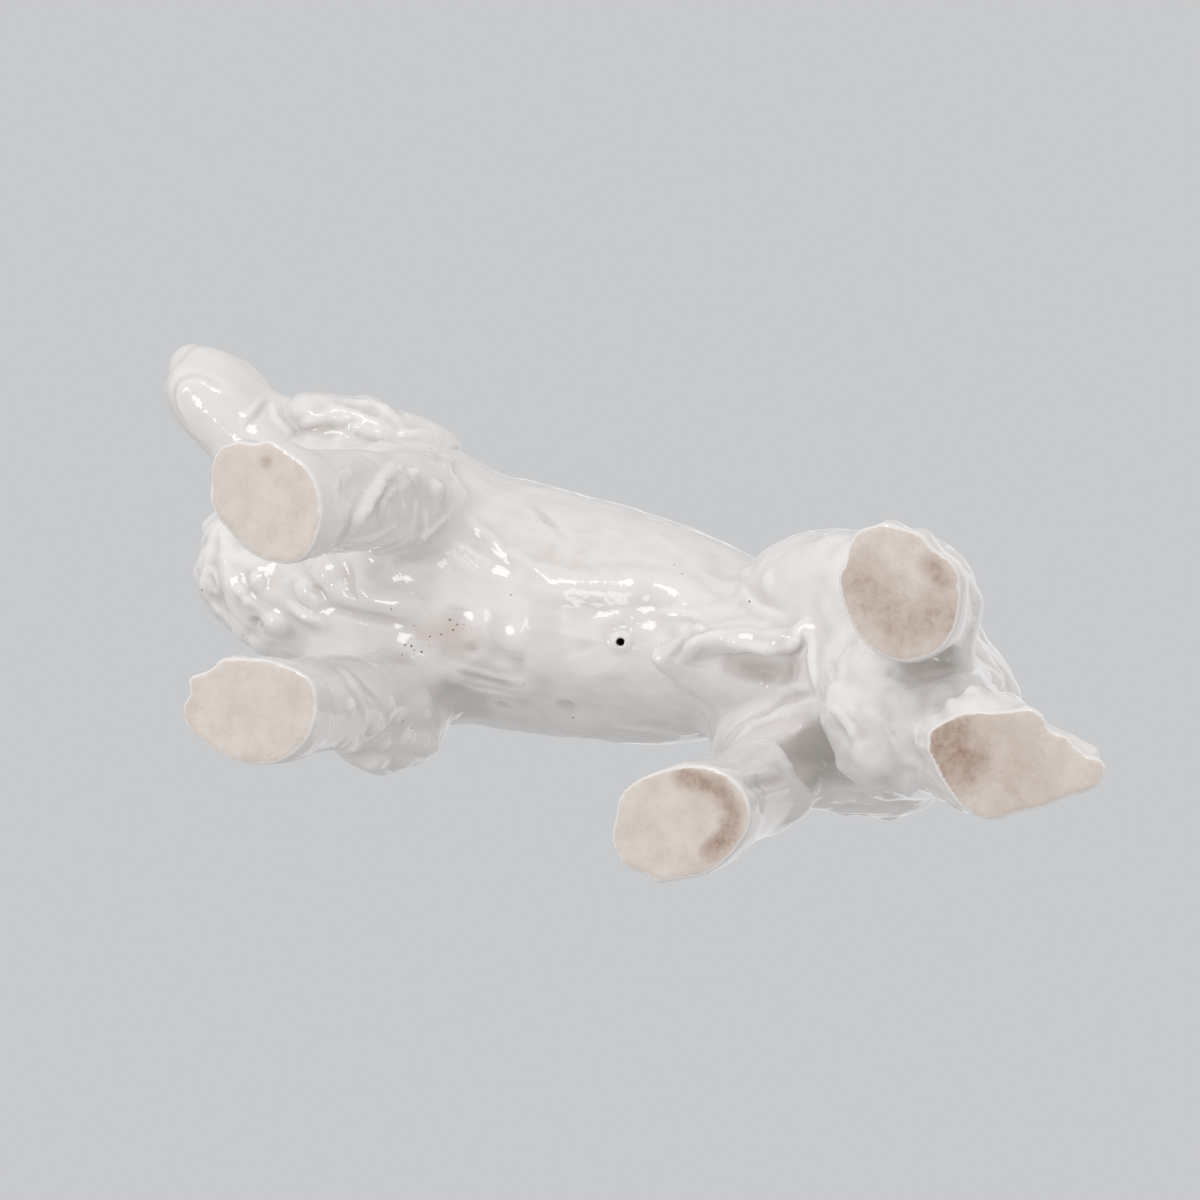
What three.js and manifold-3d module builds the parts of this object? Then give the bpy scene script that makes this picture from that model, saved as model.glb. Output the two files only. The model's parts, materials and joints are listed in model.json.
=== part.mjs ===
// Glazed porcelain figurine of a long-haired gun dog in a slow walk, its head turned to its left.
// It is slip-cast in several moulds, hollow in the trunk and the head, and stands on four paws and
// on the end of its feathered tail. Millimetres throughout.
// The dog faces -X, its left side is -Y, and its five unglazed soles stand on z = 0.
// Lengthways places are measured from the middle of the forepaws.

import * as THREE from 'three';
import { mergeVertices } from 'three/addons/utils/BufferGeometryUtils.js';
import Module from 'manifold-3d';

const wasm = await Module();
wasm.setup();

// Trunk
const WITHERS_HEIGHT = 200;
const BACK_FALL = 11;
const BACK_WIDTH = 43;
const WITHERS_AHEAD = 8;
const SPINE_COVER = 6;
const CHEST_DEPTH = 109;
const CHEST_WIDTH = 73;
const CHEST_LENGTH = 124;
const RIBS_SETBACK = 8;
const FORECHEST_REACH = 79;
const FORECHEST_WIDTH = 52;
const FORECHEST_DEPTH = 70;
const FORECHEST_LIFT = 14;
const FORECHEST_TILT = 15;
const LOIN_LENGTH = 118;
const LOIN_WIDTH = 66;
const LOIN_DEPTH = 88;
const LOIN_SETBACK = 51;
const LOIN_DROP = 6;
const LOIN_TILT = 6;
const CROUP_SETBACK = 121;
const CROUP_LENGTH = 70;
const CROUP_WIDTH = 62;
const CROUP_DEPTH = 68;
const STERNUM_WIDTH = 55;
const GROIN_LENGTH = 92;
const GROIN_WIDTH = 44;
const GROIN_DEPTH = 44;

// Neck and head
const NECK_BASE_AHEAD = 28;
const NECK_BASE_DROP = 32;
const NECK_BASE_WIDTH = 60;
const NECK_WIDTH = 46;
const NAPE_CREST = 6;
const NAPE_ASIDE = 4;
const POLL_RISE = 19;
const HEAD_REACH = 84;
const HEAD_ASIDE = 18;
const HEAD_TURN = 33;
const HEAD_DROOP = 13;
const SKULL_LENGTH = 46;
const SKULL_WIDTH = 38;
const SKULL_HEIGHT = 36;
const CHEEK_AHEAD = 12;
const CHEEK_DROP = 12;
const CHEEK_LENGTH = 44;
const CHEEK_WIDTH = 41;
const CHEEK_HEIGHT = 30;
const THROAT_WIDTH = 32;
const THROAT_DROP = 23;
const BROW_LENGTH = 18;
const BROW_HEIGHT = 16;
const MUZZLE_LENGTH = 56;
const MUZZLE_WIDTH = 23.5;
const MUZZLE_DEPTH = 32;
const FLEW_LENGTH = 38;
const FLEW_DROP = 9;
const NOSE_LENGTH = 9;
const NOSE_WIDTH = 11;
const NOSE_HEIGHT = 10;

// Ears
const EAR_DROP = 52;
const EAR_SPREAD = 34;
const EAR_THICKNESS = 12;
const EAR_ROOT_WIDTH = 16;
const EAR_FOLD_WIDTH = 14;
const LEFT_EAR = { foldAhead: 1, setOut: 10, sweep: 21.5, turn: 5 };
const RIGHT_EAR = { foldAhead: -13, setOut: 3, sweep: 13, turn: 30 };

// Legs and paws
const FORE_STANCE = 54;
const FORE_STRIDE = 5;
const ELBOW_HEIGHT = 98;
const ELBOW_WIDTH = 26;
const FORELEG_THICKNESS = 20;
const UPPER_ARM_WIDTH = 34;
const UPPER_ARM_DEPTH = 42;
const UPPER_ARM_LENGTH = 60;
const UPPER_ARM_OUT = 6;
const UPPER_ARM_TILT = 12;
const HIND_BEHIND_CROUP = 23.5;
const HIND_STANCE = 68;
const HIND_STRIDE = 46;
const HOCK_HEIGHT = 56;
const STIFLE_HEIGHT = 98;
const HOCK_TUCK = 7;
const HINDLEG_THICKNESS = 18;
const HIND_SHANK_TRIM = 4;
const STIFLE_WIDTH = 30;
const THIGH_WIDTH = 37;
const THIGH_LENGTH = 60;
const THIGH_DEPTH = 68;
const THIGH_OUT = 8;
const THIGH_TILT = 22;
const BUTTOCK_LENGTH = 34;
const BUTTOCK_WIDTH = 33;
const BUTTOCK_DEPTH = 54;
const PAW_LENGTH = 36;
const PAW_WIDTH = 26;
const PAW_HEIGHT = 15;
const FORE_PAWS_AHEAD = 1;
const SHANK_LENGTH = 30;
const SHANK_WIDTH = 25;
const SHANK_HEIGHT = 150;
const SHANK_TUCK = 4.5;
const SHANK_LEAN = 8;
const LEFT_FORE = { toesOut: 40, shankTrim: 0, armAhead: 10, elbowOut: 0.5, featherOut: -3 };
const RIGHT_FORE = { toesOut: 0, shankTrim: 2, armAhead: 12, elbowOut: 3, featherOut: 6 };
const LEFT_HIND = { toesOut: 52, shankAhead: 6.2, hockBehind: -2.5, stifleAhead: 17, thighAhead: 21 };
const RIGHT_HIND = { toesOut: 28, shankAhead: -0.8, hockBehind: 7.5, stifleAhead: 31, thighAhead: 23.5 };

// Tail
const TAIL_BEHIND_CROUP = 80;
const TAIL_THICKNESS = 27;
const TAIL_BEND_BEHIND = 7.5;
const TAIL_SOLE_LENGTH = 45;
const TAIL_SOLE_WIDTH = 27;
const PLUME_LENGTH = 64;
const PLUME_TILT = 14;

// Hair at the elbows and under the belly
const ELBOW_FEATHER_LENGTH = 21;
const ELBOW_FEATHER_WIDTH = 26;
const ELBOW_FEATHER_DEPTH = 52;
const BELLY_TUFT_AHEAD = 17;
const BELLY_TUFT_LENGTH = 44;
const BELLY_TUFT_WIDTH = 24;
const BELLY_TUFT_DEPTH = 19;
const BELLY_TUFT_ASIDE = 8;

// Casting
const WALL = 5;
const LUTING_GAP = 0.3;
const VENT_DIAMETER = 1.6;
const VENT_REACH = 67;
const AIR_HOLE_DIAMETER = 6;
const JOINT_SLOPE = 0.95;
const FORELEG_JOINT_DROP = 17;
const HIND_JOINT_DROP = 10;
const SOFTNESS = 8;

// Facets: the distance between the sections that the skin is drawn through
const FACET = 7.4;
const FINE_FACET = 4.9;
const HOLLOW_FACET = 12;
const MARGIN = 12;

const MIDDLE = 1.5;
const LEFT = -1;
const RIGHT = 1;

const at = (x, y, z) => new THREE.Vector3(x, y, z);
const turned = (about, degrees) =>
  new THREE.Quaternion().setFromAxisAngle(about, THREE.MathUtils.degToRad(degrees));
const ACROSS = at(0, 1, 0);
const UPRIGHT = at(0, 0, 1);
const LEVEL = turned(UPRIGHT, 0);
const pitched = (degrees) => turned(ACROSS, degrees);

// Forms: each gives the distance from a point to its skin, less than zero inside.

function egg(centre, length, width, height, turn = LEVEL) {
  const m = new THREE.Matrix4().makeRotationFromQuaternion(turn).elements;
  const a = length / 2;
  const b = width / 2;
  const c = height / 2;
  return (x, y, z) => {
    const px = x - centre.x;
    const py = y - centre.y;
    const pz = z - centre.z;
    const u = (px * m[0] + py * m[1] + pz * m[2]) / a;
    const v = (px * m[4] + py * m[5] + pz * m[6]) / b;
    const w = (px * m[8] + py * m[9] + pz * m[10]) / c;
    const k = Math.sqrt(u * u + v * v + w * w);
    const slope = Math.sqrt((u / a) ** 2 + (v / b) ** 2 + (w / c) ** 2) + 1e-9;
    return (k * (k - 1)) / slope;
  };
}

function taper(from, to, widthFrom, widthTo) {
  const run = to.clone().sub(from);
  const square = run.lengthSq();
  return (x, y, z) => {
    const px = x - from.x;
    const py = y - from.y;
    const pz = z - from.z;
    const along = (px * run.x + py * run.y + pz * run.z) / square;
    const t = Math.min(1, Math.max(0, along));
    const qx = px - t * run.x;
    const qy = py - t * run.y;
    const qz = pz - t * run.z;
    return Math.sqrt(qx * qx + qy * qy + qz * qz) - (widthFrom + t * (widthTo - widthFrom)) / 2;
  };
}

function soften(a, b, k) {
  const h = Math.min(1, Math.max(0, 0.5 + (0.5 * (b - a)) / k));
  return b + (a - b) * h - k * h * (1 - h);
}

function melt(softness, ...forms) {
  return (x, y, z) => {
    let d = forms[0](x, y, z);
    for (let i = 1; i < forms.length; i += 1) {
      d = soften(d, forms[i](x, y, z), softness);
    }
    return d;
  };
}

function chain(softness, ...stations) {
  const links = [];
  for (let i = 1; i < stations.length; i += 1) {
    const [from, widthFrom] = stations[i - 1];
    const [to, widthTo] = stations[i];
    links.push(taper(from, to, widthFrom, widthTo));
  }
  return melt(softness, ...links);
}

// Trunk

const brisketHeight = WITHERS_HEIGHT - CHEST_DEPTH;
const backHeight = WITHERS_HEIGHT - BACK_WIDTH / 2;
const croupHeight = WITHERS_HEIGHT - BACK_FALL;
const ribsDepth = CHEST_DEPTH - SPINE_COVER;
const ribsMiddle = brisketHeight + ribsDepth / 2;
const forechestMiddle = brisketHeight + FORECHEST_LIFT + FORECHEST_DEPTH / 2;

function trunk() {
  const ribs = egg(at(RIBS_SETBACK, MIDDLE, ribsMiddle), CHEST_LENGTH, CHEST_WIDTH, ribsDepth);
  const forechest = egg(
    at(FORECHEST_WIDTH / 2 - FORECHEST_REACH, MIDDLE, forechestMiddle),
    FORECHEST_WIDTH, FORECHEST_WIDTH, FORECHEST_DEPTH, pitched(FORECHEST_TILT),
  );
  const loin = egg(
    at(LOIN_SETBACK, MIDDLE, ribsMiddle - LOIN_DROP),
    LOIN_LENGTH, LOIN_WIDTH, LOIN_DEPTH, pitched(-LOIN_TILT),
  );
  const croup = egg(
    at(CROUP_SETBACK, MIDDLE, croupHeight - CROUP_DEPTH / 2), CROUP_LENGTH, CROUP_WIDTH, CROUP_DEPTH,
  );
  const back = chain(
    SOFTNESS,
    [at(-WITHERS_AHEAD, MIDDLE, backHeight), BACK_WIDTH],
    [at(LOIN_SETBACK, MIDDLE, backHeight - 0.6 * BACK_FALL), BACK_WIDTH],
    [at(CROUP_SETBACK + 6, MIDDLE, croupHeight - BACK_WIDTH / 2), 0.95 * BACK_WIDTH],
  );
  const sternum = taper(
    at(-0.5 * FORECHEST_REACH, MIDDLE, brisketHeight + 4 + STERNUM_WIDTH / 2),
    at(RIBS_SETBACK, MIDDLE, brisketHeight + STERNUM_WIDTH / 2), STERNUM_WIDTH, STERNUM_WIDTH,
  );
  const groin = egg(
    at(CROUP_SETBACK, MIDDLE, brisketHeight + 1 + GROIN_DEPTH / 2),
    GROIN_LENGTH, GROIN_WIDTH, GROIN_DEPTH, pitched(-LOIN_TILT),
  );
  return melt(1.5 * SOFTNESS, ribs, forechest, back, loin, croup, sternum, groin);
}

// Neck and head

const skull = at(-HEAD_REACH, -HEAD_ASIDE, WITHERS_HEIGHT + POLL_RISE);
const headTurn = turned(UPRIGHT, HEAD_TURN).multiply(pitched(-HEAD_DROOP));
const inHead = (forward, right, up) =>
  at(-forward, right, up).applyQuaternion(headTurn).add(skull);

const neckBase = at(-NECK_BASE_AHEAD, MIDDLE, WITHERS_HEIGHT - NECK_BASE_DROP);
const nape = neckBase.clone().lerp(skull, 0.5).add(at(0, NAPE_ASIDE, NAPE_CREST));
const poll = inHead(-10, 0, -2);
const neckAxis = nape.clone().sub(neckBase).normalize();
const neckJoint = neckBase.clone().lerp(nape, 0.45);

function neck() {
  return chain(
    SOFTNESS, [neckBase, NECK_BASE_WIDTH], [nape, NECK_WIDTH], [poll, SKULL_WIDTH],
  );
}

const muzzleRoot = 0.36 * SKULL_LENGTH;
const noseReach = SKULL_LENGTH / 2 + 0.62 * MUZZLE_LENGTH;
const jawLine = 2 - 0.72 * MUZZLE_DEPTH;

function head() {
  const jawHinge = inHead(8, 0, jawLine);
  const chin = inHead(noseReach - 8, 0, jawLine + 2);
  const parts = [
    egg(inHead(0, 0, 2), SKULL_LENGTH, SKULL_WIDTH, SKULL_HEIGHT, headTurn),
    egg(inHead(CHEEK_AHEAD, 0, -CHEEK_DROP), CHEEK_LENGTH, CHEEK_WIDTH, CHEEK_HEIGHT, headTurn),
    egg(inHead(13, 0, 0.26 * SKULL_HEIGHT), BROW_LENGTH, 0.68 * SKULL_WIDTH, BROW_HEIGHT, headTurn),
    taper(
      inHead(muzzleRoot, 0, -1), inHead(noseReach - 6, 0, -2), 1.15 * MUZZLE_WIDTH, 0.76 * MUZZLE_WIDTH,
    ),
    taper(jawHinge, chin, 1.2 * MUZZLE_WIDTH, 0.7 * MUZZLE_WIDTH),
    taper(inHead(-8, 0, -THROAT_DROP), jawHinge, THROAT_WIDTH, 0.9 * THROAT_WIDTH),
    egg(inHead(noseReach, 0, 0), NOSE_LENGTH, NOSE_WIDTH, NOSE_HEIGHT, headTurn),
  ];
  for (const side of [LEFT, RIGHT]) {
    const flew = inHead(noseReach - FLEW_LENGTH / 2, side * 0.24 * MUZZLE_WIDTH, -FLEW_DROP);
    parts.push(egg(flew, FLEW_LENGTH, 0.78 * MUZZLE_WIDTH, 0.68 * MUZZLE_DEPTH, headTurn));
  }
  return melt(5, ...parts);
}

// Ears: a folded root at the side of the skull, and a feathered flap that hangs and is swept back

function ear(side, { foldAhead, setOut, sweep, turn: turnedBy }) {
  const root = inHead(-5, side * (SKULL_WIDTH / 2 - 4), 6);
  const fold = inHead(foldAhead, side * (SKULL_WIDTH / 2 + setOut), -EAR_THICKNESS);
  const hang = fold.clone().add(at(3, 0, -EAR_DROP * 0.32));
  const front = fold.clone().add(at(-1, 0, -EAR_DROP * 0.55));
  const turn = turned(UPRIGHT, turnedBy);
  const back = at(sweep, 0, 0).applyQuaternion(turn);
  const rear = front.clone().addScaledVector(back, 0.7).add(at(0, 0, 2));
  const tip = front.clone().addScaledVector(back, 1.2).add(at(0, 0, 6));
  return melt(
    5,
    taper(root, fold, EAR_ROOT_WIDTH, EAR_FOLD_WIDTH),
    egg(hang, EAR_SPREAD, EAR_THICKNESS, 0.85 * EAR_DROP, turn.clone().multiply(pitched(25))),
    egg(front, 0.66 * EAR_SPREAD, EAR_THICKNESS, 0.6 * EAR_DROP, turn),
    egg(rear, 1.25 * EAR_SPREAD, EAR_THICKNESS, 0.5 * EAR_DROP, turn.clone().multiply(pitched(-12))),
    egg(tip, EAR_SPREAD, EAR_THICKNESS, 0.38 * EAR_DROP, turn.clone().multiply(pitched(-10))),
  );
}

// Legs and paws

function paw(x, y, toesOut) {
  const turn = turned(UPRIGHT, toesOut);
  const inPaw = (forward, right, up) => at(-forward, right, up).applyQuaternion(turn).add(at(x, y, 0));
  const parts = [egg(inPaw(-1, 0, 4), PAW_LENGTH - 3, PAW_WIDTH, 2.2 * PAW_HEIGHT, turn)];
  for (const [forward, right] of [[0.14, -0.36], [0.3, -0.15], [0.3, 0.15], [0.14, 0.36]]) {
    const toe = inPaw(forward * PAW_LENGTH, right * PAW_WIDTH, 3);
    const toeTurn = turned(UPRIGHT, toesOut - 30 * right);
    parts.push(egg(toe, 0.42 * PAW_LENGTH, 0.28 * PAW_WIDTH, 1.4 * PAW_HEIGHT, toeTurn));
  }
  return melt(2, ...parts);
}

// The lower leg and the hair on it, nearly as thick as the paw that it stands on

function shank(x, y, toesOut, trim, lean) {
  const turn = pitched(-lean).multiply(turned(UPRIGHT, toesOut));
  return egg(at(x, y, 0.22 * SHANK_HEIGHT), SHANK_LENGTH - trim, SHANK_WIDTH - trim, SHANK_HEIGHT, turn);
}

function foreleg(side, { toesOut, shankTrim, armAhead, elbowOut, featherOut }) {
  const ahead = (side * FORE_STRIDE) / 2;
  const pawY = (side * FORE_STANCE) / 2;
  const elbowY = pawY + side * elbowOut;
  const shoulderY = side * (CHEST_WIDTH / 2 - UPPER_ARM_WIDTH / 2 + UPPER_ARM_OUT);
  const upperArm = at(ahead - armAhead, shoulderY, ELBOW_HEIGHT + 0.4 * UPPER_ARM_LENGTH);
  const feather = at(ahead + 4.5, elbowY + side * featherOut, ELBOW_HEIGHT - 14);
  return melt(
    0.8 * SOFTNESS,
    paw(ahead - FORE_PAWS_AHEAD, pawY, -side * toesOut),
    shank(ahead + 1, pawY, -side * toesOut, shankTrim, 0),
    chain(
      SOFTNESS,
      [at(ahead + 4, pawY, PAW_HEIGHT / 2), FORELEG_THICKNESS + 1],
      [at(ahead + 2, (pawY + elbowY) / 2, 0.6 * ELBOW_HEIGHT), FORELEG_THICKNESS - 1],
      [at(ahead - 1, elbowY, ELBOW_HEIGHT + 2), ELBOW_WIDTH],
    ),
    egg(upperArm, UPPER_ARM_DEPTH, UPPER_ARM_WIDTH, UPPER_ARM_LENGTH, pitched(UPPER_ARM_TILT)),
    egg(feather, ELBOW_FEATHER_LENGTH, ELBOW_FEATHER_WIDTH, ELBOW_FEATHER_DEPTH, pitched(10)),
  );
}

const hindReach = CROUP_SETBACK + HIND_BEHIND_CROUP;

function hindleg(side, { toesOut, shankAhead, hockBehind, stifleAhead, thighAhead }) {
  const back = hindReach - (side * HIND_STRIDE) / 2;
  const pawY = (side * HIND_STANCE) / 2;
  const hock = at(back + hockBehind, pawY - side * HOCK_TUCK, HOCK_HEIGHT);
  const stifle = at(hindReach - stifleAhead, side * (CROUP_WIDTH / 2 - 6), STIFLE_HEIGHT);
  const thighY = side * (CROUP_WIDTH / 2 - THIGH_WIDTH / 2 + THIGH_OUT);
  const thigh = at(hindReach - thighAhead, thighY, STIFLE_HEIGHT + THIGH_DEPTH / 3);
  const buttock = at(hindReach - 6, thighY + side * 3, STIFLE_HEIGHT + THIGH_DEPTH / 2);
  return melt(
    SOFTNESS,
    paw(back, pawY, -side * toesOut),
    shank(back - shankAhead, pawY - side * SHANK_TUCK, -side * toesOut, HIND_SHANK_TRIM, SHANK_LEAN),
    chain(
      SOFTNESS,
      [at(back + 3, pawY - side * 3, PAW_HEIGHT / 2), HINDLEG_THICKNESS + 1],
      [hock, HINDLEG_THICKNESS],
      [stifle, STIFLE_WIDTH],
    ),
    egg(thigh, THIGH_LENGTH, THIGH_WIDTH, THIGH_DEPTH, pitched(-THIGH_TILT)),
    egg(buttock, BUTTOCK_LENGTH, BUTTOCK_WIDTH, BUTTOCK_DEPTH, pitched(-THIGH_TILT / 2)),
  );
}

// Tail: hangs from the croup down to the ground and spreads into a plume there

const tailReach = CROUP_SETBACK + TAIL_BEHIND_CROUP;

function tail() {
  const croupEnd = CROUP_SETBACK + CROUP_LENGTH / 2;
  const plume = at(tailReach, MIDDLE + 1, PAW_HEIGHT / 4);
  return melt(
    SOFTNESS,
    chain(
      SOFTNESS,
      [at(croupEnd - 16, MIDDLE, croupHeight - 26), TAIL_THICKNESS + 3],
      [at(croupEnd, MIDDLE, croupHeight - 56), TAIL_THICKNESS],
      [at(croupEnd + TAIL_BEND_BEHIND, MIDDLE, 0.3 * croupHeight), TAIL_THICKNESS],
      [at(tailReach - 8, MIDDLE, 0.28 * PLUME_LENGTH), TAIL_THICKNESS + 2],
    ),
    egg(plume, TAIL_SOLE_LENGTH, TAIL_SOLE_WIDTH, PLUME_LENGTH, pitched(-PLUME_TILT)),
  );
}

// Tuft of hair that hangs under the belly, drawn to a point towards the left

function bellyTuft() {
  const top = brisketHeight + 3;
  const middle = CROUP_SETBACK - BELLY_TUFT_AHEAD;
  const front = at(middle - 0.4 * BELLY_TUFT_LENGTH, MIDDLE, top);
  const point = at(middle + 0.4 * BELLY_TUFT_LENGTH, -BELLY_TUFT_ASIDE, top + 6 - BELLY_TUFT_DEPTH);
  return melt(
    6,
    egg(
      at(middle, -0.4 * BELLY_TUFT_ASIDE, top), BELLY_TUFT_LENGTH, BELLY_TUFT_WIDTH,
      2 * BELLY_TUFT_DEPTH, turned(UPRIGHT, -14).multiply(pitched(-12)),
    ),
    taper(front, point, 0.67 * BELLY_TUFT_WIDTH, 0.55 * BELLY_TUFT_WIDTH),
  );
}

// Skin: draws a closed surface through the sections, one corner to a cell. A cell where the form
// touches itself only along an edge or at a point is filled, so that the skin never crosses itself.

const CORNERS = [0, 1, 2, 3, 4, 5, 6, 7].map((i) => [i & 1, (i >> 1) & 1, i >> 2]);
const FACES = [[0, 1, 3, 2], [4, 5, 7, 6], [0, 1, 5, 4], [2, 3, 7, 6], [0, 2, 6, 4], [1, 3, 7, 5]];
const EDGES = [];
for (let i = 0; i < 8; i += 1) {
  for (const step of [1, 2, 4]) {
    if (!(i & step)) {
      EDGES.push([i, i + step]);
    }
  }
}

function isWhole(mask) {
  const reached = new Set();
  const members = CORNERS.map((_, i) => i).filter((i) => (mask >> i) & 1);
  const open = members.slice(0, 1);
  while (open.length) {
    const i = open.pop();
    if (!reached.has(i)) {
      reached.add(i);
      for (const step of [1, 2, 4]) {
        if ((mask >> (i ^ step)) & 1) {
          open.push(i ^ step);
        }
      }
    }
  }
  return reached.size === members.length;
}

const isSimple = Array.from({ length: 256 }, (_, mask) => {
  const crossed = FACES.some(([a, b, c, d]) => {
    const inside = [a, b, c, d].map((i) => (mask >> i) & 1);
    return inside[0] === inside[2] && inside[1] === inside[3] && inside[0] !== inside[1];
  });
  return !crossed && isWhole(mask) && isWhole(255 - mask);
});

// Section places along one axis: close together between the two ends of the fine stretch

function sections(from, to, isFine, facet, fine) {
  const places = [from];
  while (places[places.length - 1] < to) {
    const last = places[places.length - 1];
    places.push(last + (isFine(last) ? fine : facet));
  }
  return places;
}

function skin(form, xs, ys, zs) {
  const [nx, ny, nz] = [xs.length, ys.length, zs.length];
  const index = (i, j, k) => (i * ny + j) * nz + k;
  const offsets = CORNERS.map(([i, j, k]) => index(i, j, k));
  const values = new Float64Array(nx * ny * nz);
  for (let i = 0; i < nx; i += 1) {
    for (let j = 0; j < ny; j += 1) {
      for (let k = 0; k < nz; k += 1) {
        const onRim = i * j * k === 0 || i === nx - 1 || j === ny - 1 || k === nz - 1;
        values[index(i, j, k)] = onRim ? FACET : form(xs[i], ys[j], zs[k]);
      }
    }
  }
  const maskAt = (base) => {
    let mask = 0;
    for (let c = 0; c < 8; c += 1) {
      mask |= values[base + offsets[c]] < 0 ? 1 << c : 0;
    }
    return mask;
  };
  const eachCell = (visit) => {
    for (let i = 0; i < nx - 1; i += 1) {
      for (let j = 0; j < ny - 1; j += 1) {
        for (let k = 0; k < nz - 1; k += 1) {
          visit(i, j, k, index(i, j, k));
        }
      }
    }
  };
  let mended = true;
  while (mended) {
    mended = false;
    eachCell((i, j, k, base) => {
      if (!isSimple[maskAt(base)]) {
        const empty = offsets.map((o) => base + o).filter((c) => values[c] >= 0);
        empty.sort((a, b) => values[a] - values[b]);
        values[empty[0]] = -0.02 * FACET;
        mended = true;
      }
    });
  }
  const corner = new Int32Array(nx * ny * nz).fill(-1);
  const points = [];
  eachCell((i, j, k, base) => {
    const mask = maskAt(base);
    if (mask === 0 || mask === 255) {
      return;
    }
    const sum = [0, 0, 0];
    let crossings = 0;
    for (const [a, b] of EDGES) {
      const va = values[base + offsets[a]];
      const vb = values[base + offsets[b]];
      if (va < 0 !== vb < 0) {
        const t = va / (va - vb);
        sum[0] += CORNERS[a][0] + t * (CORNERS[b][0] - CORNERS[a][0]);
        sum[1] += CORNERS[a][1] + t * (CORNERS[b][1] - CORNERS[a][1]);
        sum[2] += CORNERS[a][2] + t * (CORNERS[b][2] - CORNERS[a][2]);
        crossings += 1;
      }
    }
    corner[base] = points.length / 3;
    points.push(
      xs[i] + (sum[0] / crossings) * (xs[i + 1] - xs[i]),
      ys[j] + (sum[1] / crossings) * (ys[j + 1] - ys[j]),
      zs[k] + (sum[2] / crossings) * (zs[k + 1] - zs[k]),
    );
  });
  const triangles = [];
  const gapBetween = (a, b) =>
    (points[3 * a] - points[3 * b]) ** 2 +
    (points[3 * a + 1] - points[3 * b + 1]) ** 2 +
    (points[3 * a + 2] - points[3 * b + 2]) ** 2;
  const steps = [ny * nz, nz, 1];
  for (let i = 0; i < nx - 1; i += 1) {
    for (let j = 0; j < ny - 1; j += 1) {
      for (let k = 0; k < nz - 1; k += 1) {
        const here = index(i, j, k);
        for (let axis = 0; axis < 3; axis += 1) {
          const isIn = values[here] < 0;
          if (isIn !== values[here + steps[axis]] < 0) {
            const u = steps[(axis + 1) % 3];
            const v = steps[(axis + 2) % 3];
            const ring = [here - u - v, here - v, here, here - u].map((c) => corner[c]);
            if (!isIn) {
              ring.reverse();
            }
            const [a, b, c, d] = ring;
            if (gapBetween(a, c) <= gapBetween(b, d)) {
              triangles.push(a, b, c, a, c, d);
            } else {
              triangles.push(b, c, d, b, d, a);
            }
          }
        }
      }
    }
  }
  return new wasm.Manifold(
    new wasm.Mesh({
      numProp: 3,
      vertProperties: new Float32Array(points),
      triVerts: new Uint32Array(triangles),
    }),
  );
}

// Solids for the cuts

function solidOf(geometry) {
  geometry.deleteAttribute('normal');
  geometry.deleteAttribute('uv');
  const merged = mergeVertices(geometry);
  return new wasm.Manifold(
    new wasm.Mesh({
      numProp: 3,
      vertProperties: new Float32Array(merged.attributes.position.array),
      triVerts: new Uint32Array(merged.index.array),
    }),
  );
}

const BEYOND = 420;

function beyondPlane(point, normal, clear) {
  const block = new THREE.BoxGeometry(BEYOND, BEYOND, BEYOND);
  block.translate(0, 0, BEYOND / 2 + clear);
  block.applyQuaternion(new THREE.Quaternion().setFromUnitVectors(UPRIGHT, normal));
  block.translate(point.x, point.y, point.z);
  return solidOf(block);
}

// The space of one leg: below a slanted plane from the groin or armpit out to the flank

function legSpace(side, front, rear, innerHeight, clear) {
  const drop = clear * Math.hypot(1, JOINT_SLOPE);
  const inner = 1;
  const outer = BEYOND / 4;
  const outline = new THREE.Shape();
  outline.moveTo(inner, -outer);
  outline.lineTo(outer, -outer);
  outline.lineTo(outer, innerHeight - drop + JOINT_SLOPE * outer);
  outline.lineTo(inner, innerHeight - drop + JOINT_SLOPE * inner);
  const space = new THREE.ExtrudeGeometry(outline, { depth: rear - front, bevelEnabled: false });
  const axes = new THREE.Matrix4().makeBasis(ACROSS, UPRIGHT, at(1, 0, 0));
  space.applyMatrix4(axes);
  space.translate(front, 0, 0);
  if (side === LEFT) {
    space.rotateZ(Math.PI);
    space.translate(front + rear, 0, 0);
  }
  return solidOf(space);
}

function hole(from, to, diameter) {
  const run = to.clone().sub(from);
  const bore = new THREE.CylinderGeometry(diameter / 2, diameter / 2, run.length(), 12);
  bore.applyQuaternion(new THREE.Quaternion().setFromUnitVectors(ACROSS, run.clone().normalize()));
  const middle = from.clone().lerp(to, 0.5);
  bore.translate(middle.x, middle.y, middle.z);
  return solidOf(bore);
}

// The figure as one skin, before it is parted into its castings

const trunkForm = trunk();
const bodyForm = melt(1.7 * SOFTNESS, trunkForm, neck());
const headForm = head();
const legForms = [
  foreleg(LEFT, LEFT_FORE), foreleg(RIGHT, RIGHT_FORE), hindleg(LEFT, LEFT_HIND), hindleg(RIGHT, RIGHT_HIND),
];
const figureForm = (x, y, z) => {
  const body = bodyForm(x, y, z);
  const limbs = legForms.map((form) => soften(body, form(x, y, z), SOFTNESS));
  return Math.min(soften(body, headForm(x, y, z), SOFTNESS), ...limbs);
};

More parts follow.
